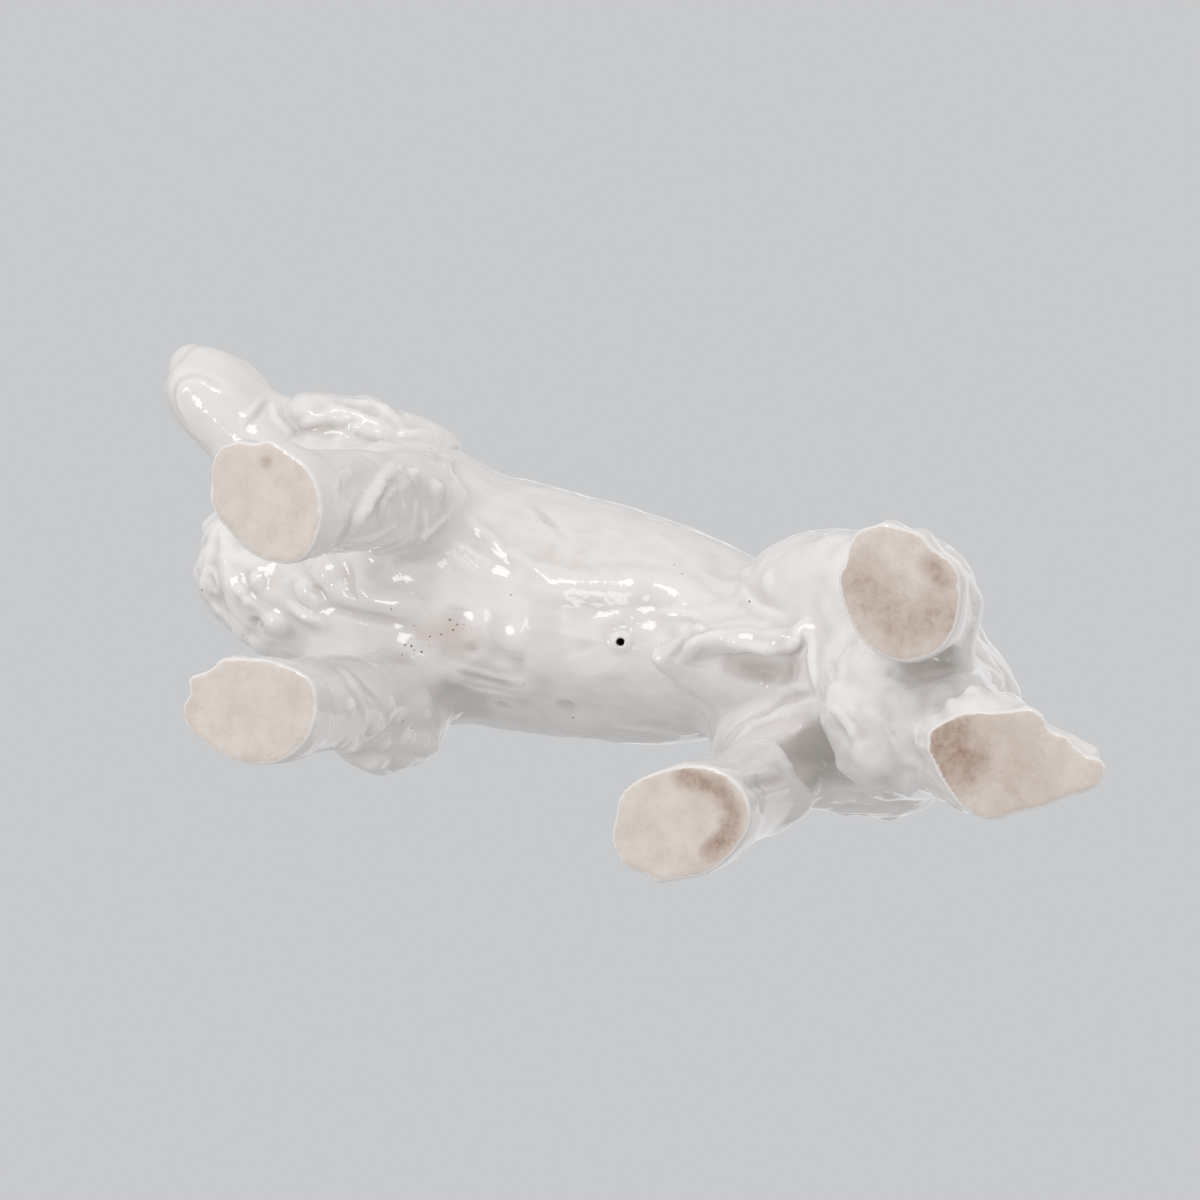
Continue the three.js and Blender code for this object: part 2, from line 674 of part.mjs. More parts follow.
const reachFront = -(HEAD_REACH + MUZZLE_LENGTH + SKULL_LENGTH);
const reachBack = tailReach + TAIL_SOLE_LENGTH;
const reachRight = HIND_STANCE / 2 + PAW_LENGTH + MARGIN;
const reachLeft = reachRight + HEAD_ASIDE;
const reachTop = WITHERS_HEIGHT + POLL_RISE + SKULL_HEIGHT + MARGIN;
const behindBrow = SKULL_LENGTH / 2 - HEAD_REACH;
const belowSkull = WITHERS_HEIGHT + POLL_RISE - SKULL_HEIGHT;
const xs = sections(reachFront, reachBack, (x) => x < behindBrow, FACET, FINE_FACET);
const ys = sections(-reachLeft, reachRight, () => false, 0.86 * FACET, FINE_FACET);
const zs = sections(
  -PAW_HEIGHT - MARGIN, reachTop, (z) => z < PAW_HEIGHT || z > belowSkull, FACET, FINE_FACET,
);

const ground = solidOf(new THREE.BoxGeometry(2 * BEYOND, 2 * BEYOND, BEYOND).translate(0, 0, -BEYOND / 2));
const figure = skin(figureForm, xs, ys, zs).subtract(ground);
const grownFigure = skin((x, y, z) => figureForm(x, y, z) - LUTING_GAP, xs, ys, zs);

// Hollows of the trunk and of the head, each a wall away from the skin and from the neck joint

const hollowXs = sections(reachFront, reachBack, () => false, HOLLOW_FACET, FINE_FACET);
const hollowYs = sections(-reachLeft, reachRight, () => false, HOLLOW_FACET, FINE_FACET);
const hollowZs = sections(0, reachTop, () => false, HOLLOW_FACET, FINE_FACET);
const pastNeckJoint = (x, y, z) =>
  (x - neckJoint.x) * neckAxis.x + (y - neckJoint.y) * neckAxis.y + (z - neckJoint.z) * neckAxis.z;
const trunkHollow = skin(
  (x, y, z) => Math.max(bodyForm(x, y, z), pastNeckJoint(x, y, z)) + WALL, hollowXs, hollowYs, hollowZs,
);
const headInside = melt(5, neck(), headForm);
const headHollow = skin(
  (x, y, z) => Math.max(headInside(x, y, z), -pastNeckJoint(x, y, z)) + WALL, hollowXs, hollowYs, hollowZs,
);
const airHole = hole(
  neckJoint.clone().addScaledVector(neckAxis, -2.5 * WALL),
  neckJoint.clone().addScaledVector(neckAxis, 2.5 * WALL),
  AIR_HOLE_DIAMETER,
);
const vent = hole(
  at(VENT_REACH, -1, brisketHeight - 3 * WALL), at(VENT_REACH, -1, ribsMiddle), VENT_DIAMETER,
);

// Castings

const half = LUTING_GAP / 2;
const shoulderSpan = [-FORECHEST_REACH, 0.7 * LOIN_SETBACK];
const haunchSpan = [hindReach - THIGH_LENGTH, reachBack];
const foreJoint = brisketHeight - FORELEG_JOINT_DROP;
const hindJoint = brisketHeight - HIND_JOINT_DROP;
const legs = [
  { name: 'foreleg_left', side: LEFT, span: shoulderSpan, joint: foreJoint },
  { name: 'foreleg_right', side: RIGHT, span: shoulderSpan, joint: foreJoint },
  { name: 'hind_leg_left', side: LEFT, span: haunchSpan, joint: hindJoint },
  { name: 'hind_leg_right', side: RIGHT, span: haunchSpan, joint: hindJoint },
];

const castings = [];
let torso = figure.subtract(beyondPlane(neckJoint, neckAxis, -half));
for (const { name, side, span, joint } of legs) {
  castings.push([name, figure.intersect(legSpace(side, ...span, joint, half))]);
  torso = torso.subtract(legSpace(side, ...span, joint, -half));
}
torso = torso.subtract(trunkHollow).subtract(airHole).subtract(vent);
castings.push(['torso', torso]);

const headCasting = figure.intersect(beyondPlane(neckJoint, neckAxis, half));
castings.push(['head', headCasting.subtract(headHollow).subtract(airHole)]);

const earXs = sections(reachFront, EAR_SPREAD + MARGIN, () => true, FACET, FINE_FACET);
const earYs = sections(-reachLeft, reachRight, () => true, FACET, FINE_FACET);
const earZs = sections(brisketHeight, reachTop, () => true, FACET, FINE_FACET);
const ears = [['ear_left', LEFT, LEFT_EAR], ['ear_right', RIGHT, RIGHT_EAR]];
for (const [name, side, lie] of ears) {
  const flap = skin(ear(side, lie), earXs, earYs, earZs);
  castings.push([name, flap.subtract(grownFigure).subtract(figure)]);
}
const plume = skin(tail(), xs, ys, zs).subtract(ground);
castings.push(['tail', plume.subtract(grownFigure).subtract(figure)]);
const tuft = skin(bellyTuft(), xs, ys, zs);
castings.push(['belly_tuft', tuft.subtract(grownFigure).subtract(figure)]);

// Scene: every casting has the same clear glaze over white porcelain

const glaze = { color: 0xe6e5e3, roughness: 0.12, metalness: 0 };
const dog = new THREE.Group();
for (const [name, solid] of castings) {
  const { vertProperties, triVerts } = solid.getMesh();
  const geometry = new THREE.BufferGeometry();
  geometry.setAttribute('position', new THREE.BufferAttribute(new Float32Array(vertProperties), 3));
  geometry.setIndex(new THREE.BufferAttribute(new Uint32Array(triVerts), 1));
  geometry.computeVertexNormals();
  const mesh = new THREE.Mesh(geometry, new THREE.MeshStandardMaterial(glaze));
  mesh.name = name;
  dog.add(mesh);
}

// The origin is the middle of the outline's box, on the ground
dog.updateMatrixWorld(true);
const box = new THREE.Box3().setFromObject(dog, true);
dog.position.set(-(box.min.x + box.max.x) / 2, -(box.min.y + box.max.y) / 2, 0);

export default dog;
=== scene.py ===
"""A slip-cast porcelain gun dog, glazed white all over but for the five flat soles that it stands on.

The dog is modelled as one skin, the way it leaves the kiln, and then parted where its castings were luted
together. Lengths are millimetres in the dog's own frame: x runs back from the middle of the forepaws, y to
the dog's right and z up. Each piece goes to Blender in metres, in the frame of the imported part.
"""

import json
import math

import bpy
import numpy as np
from mathutils import Matrix, Vector
from mathutils.bvhtree import BVHTree


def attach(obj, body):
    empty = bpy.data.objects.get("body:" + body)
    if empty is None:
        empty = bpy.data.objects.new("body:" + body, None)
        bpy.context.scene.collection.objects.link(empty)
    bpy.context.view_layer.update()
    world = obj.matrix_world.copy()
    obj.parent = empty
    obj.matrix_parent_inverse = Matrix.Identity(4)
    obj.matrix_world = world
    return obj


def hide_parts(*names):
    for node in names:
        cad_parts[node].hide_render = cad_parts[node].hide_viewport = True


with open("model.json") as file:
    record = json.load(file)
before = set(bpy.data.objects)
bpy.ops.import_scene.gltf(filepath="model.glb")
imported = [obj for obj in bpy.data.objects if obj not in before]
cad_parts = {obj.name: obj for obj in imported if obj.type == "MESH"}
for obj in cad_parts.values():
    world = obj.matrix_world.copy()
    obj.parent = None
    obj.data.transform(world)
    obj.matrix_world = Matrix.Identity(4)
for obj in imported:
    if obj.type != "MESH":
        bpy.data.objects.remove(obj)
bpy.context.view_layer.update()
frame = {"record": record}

MM = 0.001
SOLES = {mount["name"]: np.array(mount["pos_m"]) for mount in frame["record"]["mounts"]}
FORE_PAWS_AHEAD = 1
DOG_ORIGIN = (SOLES["left_fore_sole"] + SOLES["right_fore_sole"]) / 2 + (FORE_PAWS_AHEAD * MM, 0, 0)
LEFT, RIGHT = -1, 1
SEED = 7

# Trunk
MIDDLE = 1.5
WITHERS_HEIGHT = 200
WITHERS_AHEAD = 8
SPINE_COVER = 6
BACK_FALL = 11
BACK_WIDTH = 43
CHEST_LENGTH, CHEST_WIDTH, CHEST_DEPTH = 124, 73, 109
RIBS_SETBACK = 8
FORECHEST_REACH = 79
FORECHEST_WIDTH, FORECHEST_DEPTH = 52, 70
FORECHEST_LIFT, FORECHEST_TILT = 14, 15
LOIN_LENGTH, LOIN_WIDTH, LOIN_DEPTH = 118, 66, 88
LOIN_SETBACK, LOIN_DROP, LOIN_TILT = 51, 6, 6
CROUP_SETBACK = 121
CROUP_LENGTH, CROUP_WIDTH, CROUP_DEPTH = 70, 62, 68
STERNUM_WIDTH, STERNUM_LIFT_FRONT, STERNUM_LIFT_REAR = 55, 31, 27
CROTCH_LENGTH, CROTCH_WIDTH, CROTCH_DEPTH, CROTCH_TILT = 92, 44, 44, 6
BRISKET_HEIGHT = WITHERS_HEIGHT - CHEST_DEPTH
CROUP_HEIGHT = WITHERS_HEIGHT - BACK_FALL
RIBS_DEPTH = CHEST_DEPTH - SPINE_COVER
RIBS_MIDDLE = BRISKET_HEIGHT + RIBS_DEPTH / 2

# Neck and head
NECK_BASE_AHEAD, NECK_BASE_DROP, NECK_BASE_WIDTH = 28, 32, 60
NECK_WIDTH, NAPE_CREST, NAPE_ASIDE = 46, 6, 4
RUFF_PLACE, RUFF_SIZE, RUFF_TILT = (-60, -19, 173), (50, 34, 46), 20
POLL_RISE, HEAD_REACH, HEAD_ASIDE = 19, 84, 18
HEAD_TURN, HEAD_DROOP = 33, 13
SKULL_LENGTH, SKULL_WIDTH, SKULL_HEIGHT = 46, 38, 36
CHEEK_AHEAD, CHEEK_DROP = 12, 12
CHEEK_LENGTH, CHEEK_WIDTH, CHEEK_HEIGHT = 44, 41, 30
THROAT_WIDTH, THROAT_DROP = 32, 23
BROW_LENGTH, BROW_HEIGHT = 18, 16
MUZZLE_LENGTH, MUZZLE_WIDTH, MUZZLE_DEPTH = 56, 23.5, 32
FLEW_LENGTH, FLEW_DROP = 38, 9
CHIN_AHEAD, CHIN_LENGTH, CHIN_HEIGHT = 36, 34, 13
NOSE_LENGTH, NOSE_WIDTH, NOSE_HEIGHT = 9, 11, 10
NOSE_REACH = SKULL_LENGTH / 2 + 0.62 * MUZZLE_LENGTH
JAW_LINE = 2 - 0.72 * MUZZLE_DEPTH

# Ears
EAR_DROP, EAR_SPREAD, EAR_THICKNESS = 52, 34, 12
EAR_ROOT_WIDTH, EAR_FOLD_WIDTH = 16, 14
EAR_INNER_SIZE = (22, 16, 30)
LEFT_EAR = {"fold_ahead": 1, "set_out": 10, "sweep": 21.5, "turn": 5}
RIGHT_EAR = {"fold_ahead": -13, "set_out": 3, "sweep": 13, "turn": 30}

# Legs and paws
FORE_STANCE, FORE_STRIDE = 54, 5
ELBOW_HEIGHT, ELBOW_WIDTH, FORELEG_THICKNESS = 98, 26, 20
UPPER_ARM_WIDTH, UPPER_ARM_DEPTH, UPPER_ARM_LENGTH = 34, 42, 60
UPPER_ARM_OUT, UPPER_ARM_TILT = 6, 12
HIND_REACH = CROUP_SETBACK + 23.5
HIND_STANCE, HIND_STRIDE = 68, 46
HOCK_HEIGHT, HOCK_TUCK, HINDLEG_THICKNESS = 56, 7, 18
STIFLE_HEIGHT, STIFLE_WIDTH = 98, 30
THIGH_WIDTH, THIGH_LENGTH, THIGH_DEPTH = 37, 60, 68
THIGH_OUT, THIGH_TILT = 8, 22
BUTTOCK_LENGTH, BUTTOCK_WIDTH, BUTTOCK_DEPTH = 34, 33, 54
PAW_LENGTH, PAW_WIDTH, PAW_HEIGHT = 36, 26, 15
SHANK_LENGTH, SHANK_WIDTH, SHANK_HEIGHT = 30, 25, 150
SHANK_TUCK, SHANK_LEAN, HIND_SHANK_TRIM = 4.5, 8, 4
LEFT_FORE = {"toes_out": 40, "shank_trim": 0, "arm_ahead": 10, "elbow_out": 0.5, "feather_out": -3}
RIGHT_FORE = {"toes_out": 0, "shank_trim": 2, "arm_ahead": 12, "elbow_out": 3, "feather_out": 6}
LEFT_HIND = {"toes_out": 52, "shank_ahead": 6.2, "hock_behind": -2.5, "stifle_ahead": 17, "thigh_ahead": 21}
RIGHT_HIND = {
    "toes_out": 28, "shank_ahead": -0.8, "hock_behind": 7.5, "stifle_ahead": 31, "thigh_ahead": 23.5,
}

# Tail and hair
TAIL_REACH = CROUP_SETBACK + 80
TAIL_THICKNESS, TAIL_SOLE_LENGTH = 27, 45
PLUME_LENGTH, PLUME_LEAN, PLUME_DRAW_IN = 64, (-0.58, 0), 0.07
PLUME_TIP = ((190, -6, 8), (218, -2.5, 6), 15, 7)
BREECHES_WIDTHS = (36, 44, 38, 23)
FEATHER_LENGTH, FEATHER_WIDTH, FEATHER_DEPTH = 21, 26, 52
TUFT_AHEAD, TUFT_LENGTH, TUFT_WIDTH, TUFT_DEPTH = 17, 44, 24, 19
TUFT_TURN, TUFT_TILT = -14, -12
TUFT_RIM = [
    ((-20, 2.5, -6), 9), ((-11, -4, -12), 7), ((2, -7, -14.5), 6), ((14, -9, -15.5), 5.5),
    ((19.5, -13.5, -13), 4.5),
]

# How softly forms run into each other
SOFTNESS, FIRM_SOFTNESS, TUFT_SOFTNESS, CRISP_SOFTNESS = 8, 5, 4, 1.5
LAID_ON_SOFTNESS = {"ear_left": 6, "ear_right": 3, "tail": 11, "belly_tuft": 4}

# Camera: where the photograph was taken from, in the dog's frame
PHOTO_SIZE = 1200
FOCAL_LENGTH_PIXELS = 3600
CAMERA_PLACE = np.array([383.5, -100.6, -847.4])
TO_PHOTO_RIGHT = np.array([0.929, -0.1574, 0.335])
TO_PHOTO_FOOT = np.array([0.1789, 0.9833, -0.034])
INTO_PHOTO = np.array([-0.324, 0.0915, 0.9416])


# Forms: each gives the distance of points to its skin, less than zero inside

FAR = 1e3
NEAR_REACH = 14


def turned(axis, degrees):
    return np.array(Matrix.Rotation(math.radians(degrees), 3, axis))


def pitched(degrees):
    return turned("Y", degrees)


LEVEL = np.eye(3)


class Form:
    """A shape, its distance function and the box that it lies in."""

    def __init__(self, distance, low, high):
        self.distance = distance
        self.low = np.asarray(low, float)
        self.high = np.asarray(high, float)

    def near(self, points, reach=NEAR_REACH):
        inside = (points > self.low - reach) & (points < self.high + reach)
        return np.flatnonzero(inside.all(1))


def egg(centre, size, turn=LEVEL):
    half = np.array(size, float) / 2
    centre = np.array(centre, float)

    def distance(points):
        q = (points - centre) @ turn / half
        k = np.sqrt((q * q).sum(1))
        slope = np.sqrt(((q / half) ** 2).sum(1)) + 1e-9
        return k * (k - 1) / slope

    extent = np.sqrt(((turn * half) ** 2).sum(1))
    return Form(distance, centre - extent, centre + extent)


def taper(start, end, width_start, width_end):
    start, end = np.array(start, float), np.array(end, float)
    run = end - start
    square = run @ run

    def distance(points):
        p = points - start
        t = np.clip(p @ run / square, 0, 1)
        q = p - t[:, None] * run
        return np.sqrt((q * q).sum(1)) - (width_start + t * (width_end - width_start)) / 2

    widest = max(width_start, width_end) / 2
    return Form(distance, np.minimum(start, end) - widest, np.maximum(start, end) + widest)


def soften(a, b, k):
    h = np.clip(0.5 + 0.5 * (b - a) / k, 0, 1)
    return b + (a - b) * h - k * h * (1 - h)


def melt(softness, *forms):
    def distance(points):
        d = np.full(len(points), FAR)
        for form in forms:
            near = form.near(points)
            d[near] = soften(d[near], form.distance(points[near]), softness)
        return d

    low = np.min([form.low for form in forms], axis=0)
    high = np.max([form.high for form in forms], axis=0)
    return Form(distance, low, high)


def chain(softness, *stations):
    links = [taper(a, b, wa, wb) for (a, wa), (b, wb) in zip(stations, stations[1:])]
    return melt(softness, *links)


# Trunk


def trunk():
    back_height = WITHERS_HEIGHT - BACK_WIDTH / 2
    forechest_height = BRISKET_HEIGHT + FORECHEST_LIFT + FORECHEST_DEPTH / 2
    return melt(
        1.5 * SOFTNESS,
        egg((RIBS_SETBACK, MIDDLE, RIBS_MIDDLE), (CHEST_LENGTH, CHEST_WIDTH, RIBS_DEPTH)),
        egg(
            (FORECHEST_WIDTH / 2 - FORECHEST_REACH, MIDDLE, forechest_height),
            (FORECHEST_WIDTH, FORECHEST_WIDTH, FORECHEST_DEPTH), pitched(FORECHEST_TILT),
        ),
        chain(
            SOFTNESS,
            ((-WITHERS_AHEAD, MIDDLE, back_height), BACK_WIDTH),
            ((LOIN_SETBACK, MIDDLE, back_height - 0.6 * BACK_FALL), BACK_WIDTH),
            ((CROUP_SETBACK + 6, MIDDLE, CROUP_HEIGHT - BACK_WIDTH / 2), 0.95 * BACK_WIDTH),
        ),
        egg(
            (LOIN_SETBACK, MIDDLE, RIBS_MIDDLE - LOIN_DROP), (LOIN_LENGTH, LOIN_WIDTH, LOIN_DEPTH),
            pitched(-LOIN_TILT),
        ),
        egg(
            (CROUP_SETBACK, MIDDLE, CROUP_HEIGHT - CROUP_DEPTH / 2),
            (CROUP_LENGTH, CROUP_WIDTH, CROUP_DEPTH),
        ),
        taper(
            (-0.5 * FORECHEST_REACH, MIDDLE, BRISKET_HEIGHT + STERNUM_LIFT_FRONT),
            (RIBS_SETBACK, MIDDLE, BRISKET_HEIGHT + STERNUM_LIFT_REAR), STERNUM_WIDTH, STERNUM_WIDTH,
        ),
        egg(
            (CROUP_SETBACK, MIDDLE, BRISKET_HEIGHT + 1 + CROTCH_DEPTH / 2),
            (CROTCH_LENGTH, CROTCH_WIDTH, CROTCH_DEPTH), pitched(-CROTCH_TILT),
        ),
    )


# Neck and head

SKULL = np.array([-HEAD_REACH, -HEAD_ASIDE, WITHERS_HEIGHT + POLL_RISE])
HEAD_TURNED = turned("Z", HEAD_TURN) @ pitched(-HEAD_DROOP)


def in_head(forward, right, up):
    return HEAD_TURNED @ np.array([-forward, right, up]) + SKULL


NECK_BASE = np.array([-NECK_BASE_AHEAD, MIDDLE, WITHERS_HEIGHT - NECK_BASE_DROP])
NAPE = (NECK_BASE + SKULL) / 2 + np.array([0, NAPE_ASIDE, NAPE_CREST])
NECK_AXIS = (NAPE - NECK_BASE) / np.linalg.norm(NAPE - NECK_BASE)
NECK_JOINT = NECK_BASE + 0.45 * (NAPE - NECK_BASE)


def neck():
    column = chain(
        SOFTNESS, (NECK_BASE, NECK_BASE_WIDTH), (NAPE, NECK_WIDTH), (in_head(-10, 0, -2), SKULL_WIDTH),
    )
    ruff_below_ear = egg(RUFF_PLACE, RUFF_SIZE, pitched(RUFF_TILT))
    return melt(SOFTNESS, column, ruff_below_ear)


def head():
    jaw_hinge = in_head(8, 0, JAW_LINE)
    chin = in_head(NOSE_REACH - 8, 0, JAW_LINE + 2)
    parts = [
        egg(in_head(0, 0, 2), (SKULL_LENGTH, SKULL_WIDTH, SKULL_HEIGHT), HEAD_TURNED),
        egg(in_head(CHEEK_AHEAD, 0, -CHEEK_DROP), (CHEEK_LENGTH, CHEEK_WIDTH, CHEEK_HEIGHT), HEAD_TURNED),
        egg(
            in_head(13, 0, 0.26 * SKULL_HEIGHT), (BROW_LENGTH, 0.68 * SKULL_WIDTH, BROW_HEIGHT), HEAD_TURNED,
        ),
        taper(
            in_head(0.36 * SKULL_LENGTH, 0, -1), in_head(NOSE_REACH - 6, 0, -2),
            1.15 * MUZZLE_WIDTH, 0.76 * MUZZLE_WIDTH,
        ),
        taper(
            jaw_hinge + in_head(0, 0, 2) - SKULL, chin + in_head(0, 0, 3) - SKULL,
            1.3 * MUZZLE_WIDTH, 0.66 * MUZZLE_WIDTH,
        ),
        egg(in_head(CHIN_AHEAD, 0, JAW_LINE), (CHIN_LENGTH, 0.96 * MUZZLE_WIDTH, CHIN_HEIGHT), HEAD_TURNED),
        taper(in_head(-8, 0, -THROAT_DROP), jaw_hinge, THROAT_WIDTH, 0.9 * THROAT_WIDTH),
        egg(in_head(NOSE_REACH, 0, 0), (NOSE_LENGTH, NOSE_WIDTH, NOSE_HEIGHT), HEAD_TURNED),
    ]
    for side in (LEFT, RIGHT):
        flew = in_head(NOSE_REACH - FLEW_LENGTH / 2, side * 0.24 * MUZZLE_WIDTH, -FLEW_DROP)
        parts.append(egg(flew, (FLEW_LENGTH, 0.78 * MUZZLE_WIDTH, 0.68 * MUZZLE_DEPTH), HEAD_TURNED))
    return melt(FIRM_SOFTNESS, *parts)


def ear(side, fold_ahead, set_out, sweep, turn):
    root = in_head(-5, side * (SKULL_WIDTH / 2 - 4), 6)
    fold = in_head(fold_ahead, side * (SKULL_WIDTH / 2 + set_out), -EAR_THICKNESS)
    hang = fold + np.array([3, 0, -0.32 * EAR_DROP])
    front = fold + np.array([-1, 0, -0.55 * EAR_DROP])
    lie = turned("Z", turn)
    back = lie @ np.array([sweep, 0, 0])
    rear = front + 0.7 * back + np.array([0, 0, 2])
    tip = front + 1.2 * back + np.array([0, 0, 6])
    return melt(
        FIRM_SOFTNESS,
        taper(root, fold, EAR_ROOT_WIDTH, EAR_FOLD_WIDTH),
        egg(fold + np.array([5, -7 * side, -3]), EAR_INNER_SIZE),
        egg(hang, (EAR_SPREAD, EAR_THICKNESS, 0.85 * EAR_DROP), lie @ pitched(25)),
        egg(front, (0.66 * EAR_SPREAD, EAR_THICKNESS, 0.6 * EAR_DROP), lie),
        egg(rear, (1.25 * EAR_SPREAD, EAR_THICKNESS, 0.5 * EAR_DROP), lie @ pitched(-12)),
        egg(tip, (EAR_SPREAD, EAR_THICKNESS, 0.38 * EAR_DROP), lie @ pitched(-10)),
    )


# Legs and paws

SOLE_OUTLINES = {
    "left_fore": [
        (-16.3, -39.6), (-9.6, -38.8), (-7.9, -40), (-2.5, -39.6), (3.3, -37.5), (6.7, -35), (10, -29.2),
        (11.7, -22.5), (10, -14.2), (3.3, -12.7), (-5, -14.2), (-10, -18.3), (-15, -21.2), (-17, -25),
        (-18.3, -30), (-19, -35),
    ],
    "right_fore": [
        (-16.7, 22.5), (-14.6, 25.8), (-17.1, 30.4), (-15, 35), (-8.3, 37.5), (-5.8, 39.2), (0, 40.2),
        (9.2, 39.2), (15, 35), (18.3, 30), (19.6, 25), (18.3, 17.5), (14.2, 15.4), (2.5, 14.6), (-5.8, 16.3),
        (-10, 19.2), (-13.7, 21.3),
    ],
    "left_hind": [
        (153.8, -45.5), (157, -47.6), (162.5, -49.3), (168.3, -48.3), (172.5, -45.5), (180.4, -42.6),
        (181.7, -35.5), (181.3, -27.2), (178.8, -22.6), (174.2, -20.9), (168.3, -21.5), (163.3, -24.3),
        (155.8, -30.5), (154.2, -35.5),
    ],
    "right_hind": [
        (105.4, 29.8), (105.8, 35.3), (105.3, 40.7), (107.9, 43.6), (108.8, 45.7), (115.8, 46.9),
        (123.3, 46.3), (130, 43.2), (132.5, 40.3), (135, 34.8), (137.1, 29.8), (135, 25.3), (130.8, 21.1),
        (125, 20), (118.3, 21.1), (112.5, 22.8), (108.3, 25.7),
    ],
    "tail": [
        (180, -0.2), (185, -5.3), (190, -7.8), (198.3, -9.5), (204.6, -11.8), (207.5, -10.8), (209.2, -7.2),
        (214.6, -6.6), (216, -4.5), (218.3, -4.1), (219.2, -2.8), (222.5, -3.2), (224.6, -1.2), (222.5, 3.8),
        (216.7, 6.3), (211.7, 10), (205, 12.6), (200, 15.9), (193.3, 15), (187.5, 10.1),
    ],
}
GLAZED_RIM = 0.9
SOLE_WALL_HEIGHT, SOLE_WALL_DRAW_IN = 12, 0.12


def rounded(outline, times):
    """The outline with its corners cut that many times."""
    ring = np.array(outline, float)
    for _ in range(times):
        onward = np.roll(ring, -1, 0)
        ring = np.stack([0.75 * ring + 0.25 * onward, 0.25 * ring + 0.75 * onward], 1).reshape(-1, 2)
    return ring


def standing_on(outline, height, lean, draw_in, times=2):
    """A form that rises from a sole's outline, leaning and narrowing as it goes."""
    ring = rounded(outline, times)
    lean = np.array(lean, float)

    def distance(points):
        place = points[:, :2] - points[:, 2:] * lean
        gap = np.full(len(points), FAR)
        inside = np.zeros(len(points), bool)
        for a, b in zip(ring, np.roll(ring, -1, 0)):
            run = b - a
            p = place - a
            t = np.clip(p @ run / (run @ run), 0, 1)
            gap = np.minimum(gap, np.hypot(*(p - t[:, None] * run).T))
            crossed = (a[1] > place[:, 1]) != (b[1] > place[:, 1])
            inside ^= crossed & (p[:, 0] < p[:, 1] * run[0] / (run[1] + 1e-12))
        side = np.where(inside, -gap, gap) + draw_in * np.maximum(points[:, 2], 0) - GLAZED_RIM
        return -soften(-side, height - points[:, 2], 2)

    low = [*ring.min(0) - 2, -6]
    high = [*ring.max(0) + 2, height]
    drift = height * lean
    return Form(distance, low + np.minimum([*drift, 0], 0), high + np.maximum([*drift, 0], 0))


def paw(x, y, toes_out):
    turn = turned("Z", toes_out)

    def in_paw(forward, right, up):
        return turn @ np.array([-forward, right, up]) + np.array([x, y, 0])

    outline = SOLE_OUTLINES[("left" if y < 0 else "right") + ("_fore" if x < LOIN_SETBACK else "_hind")]
    parts = [
        egg(in_paw(-1, 0, 4), (PAW_LENGTH - 8, PAW_WIDTH - 4, 2.4 * PAW_HEIGHT), turn),
        standing_on(outline, SOLE_WALL_HEIGHT, (0, 0), SOLE_WALL_DRAW_IN),
    ]
    for forward, right in ((0.12, -0.34), (0.27, -0.13), (0.27, 0.13), (0.12, 0.34)):
        toe = in_paw(forward * PAW_LENGTH, right * PAW_WIDTH, 5)
        toe_turn = turned("Z", toes_out - 30 * right)
        parts.append(egg(toe, (0.42 * PAW_LENGTH, 0.24 * PAW_WIDTH, 1.3 * PAW_HEIGHT), toe_turn))
    return melt(CRISP_SOFTNESS, *parts)


def shank(x, y, toes_out, trim, lean=0):
    """The lower leg and the hair on it, nearly as thick as the paw that it stands on."""
    size = (SHANK_LENGTH - trim, SHANK_WIDTH - trim, SHANK_HEIGHT)
    return egg((x, y, 0.22 * SHANK_HEIGHT), size, pitched(-lean) @ turned("Z", toes_out))


def foreleg(side, toes_out, shank_trim, arm_ahead, elbow_out, feather_out):
    ahead = side * FORE_STRIDE / 2
    paw_y = side * FORE_STANCE / 2
    elbow_y = paw_y + side * elbow_out
    shoulder_y = side * (CHEST_WIDTH / 2 - UPPER_ARM_WIDTH / 2 + UPPER_ARM_OUT)
    return melt(
        0.8 * SOFTNESS,
        paw(ahead - FORE_PAWS_AHEAD, paw_y, -side * toes_out),
        shank(ahead + 1, paw_y, -side * toes_out, shank_trim),
        chain(
            SOFTNESS,
            ((ahead + 4, paw_y, PAW_HEIGHT / 2), FORELEG_THICKNESS + 1),
            ((ahead + 2, (paw_y + elbow_y) / 2, 0.6 * ELBOW_HEIGHT), FORELEG_THICKNESS - 1),
            ((ahead - 1, elbow_y, ELBOW_HEIGHT + 2), ELBOW_WIDTH),
        ),
        egg(
            (ahead - arm_ahead, shoulder_y, ELBOW_HEIGHT + 0.4 * UPPER_ARM_LENGTH),
            (UPPER_ARM_DEPTH, UPPER_ARM_WIDTH, UPPER_ARM_LENGTH), pitched(UPPER_ARM_TILT),
        ),
        egg(
            (ahead + 4.5, elbow_y + side * feather_out, ELBOW_HEIGHT - 14),
            (FEATHER_LENGTH, FEATHER_WIDTH, FEATHER_DEPTH), pitched(10),
        ),
    )


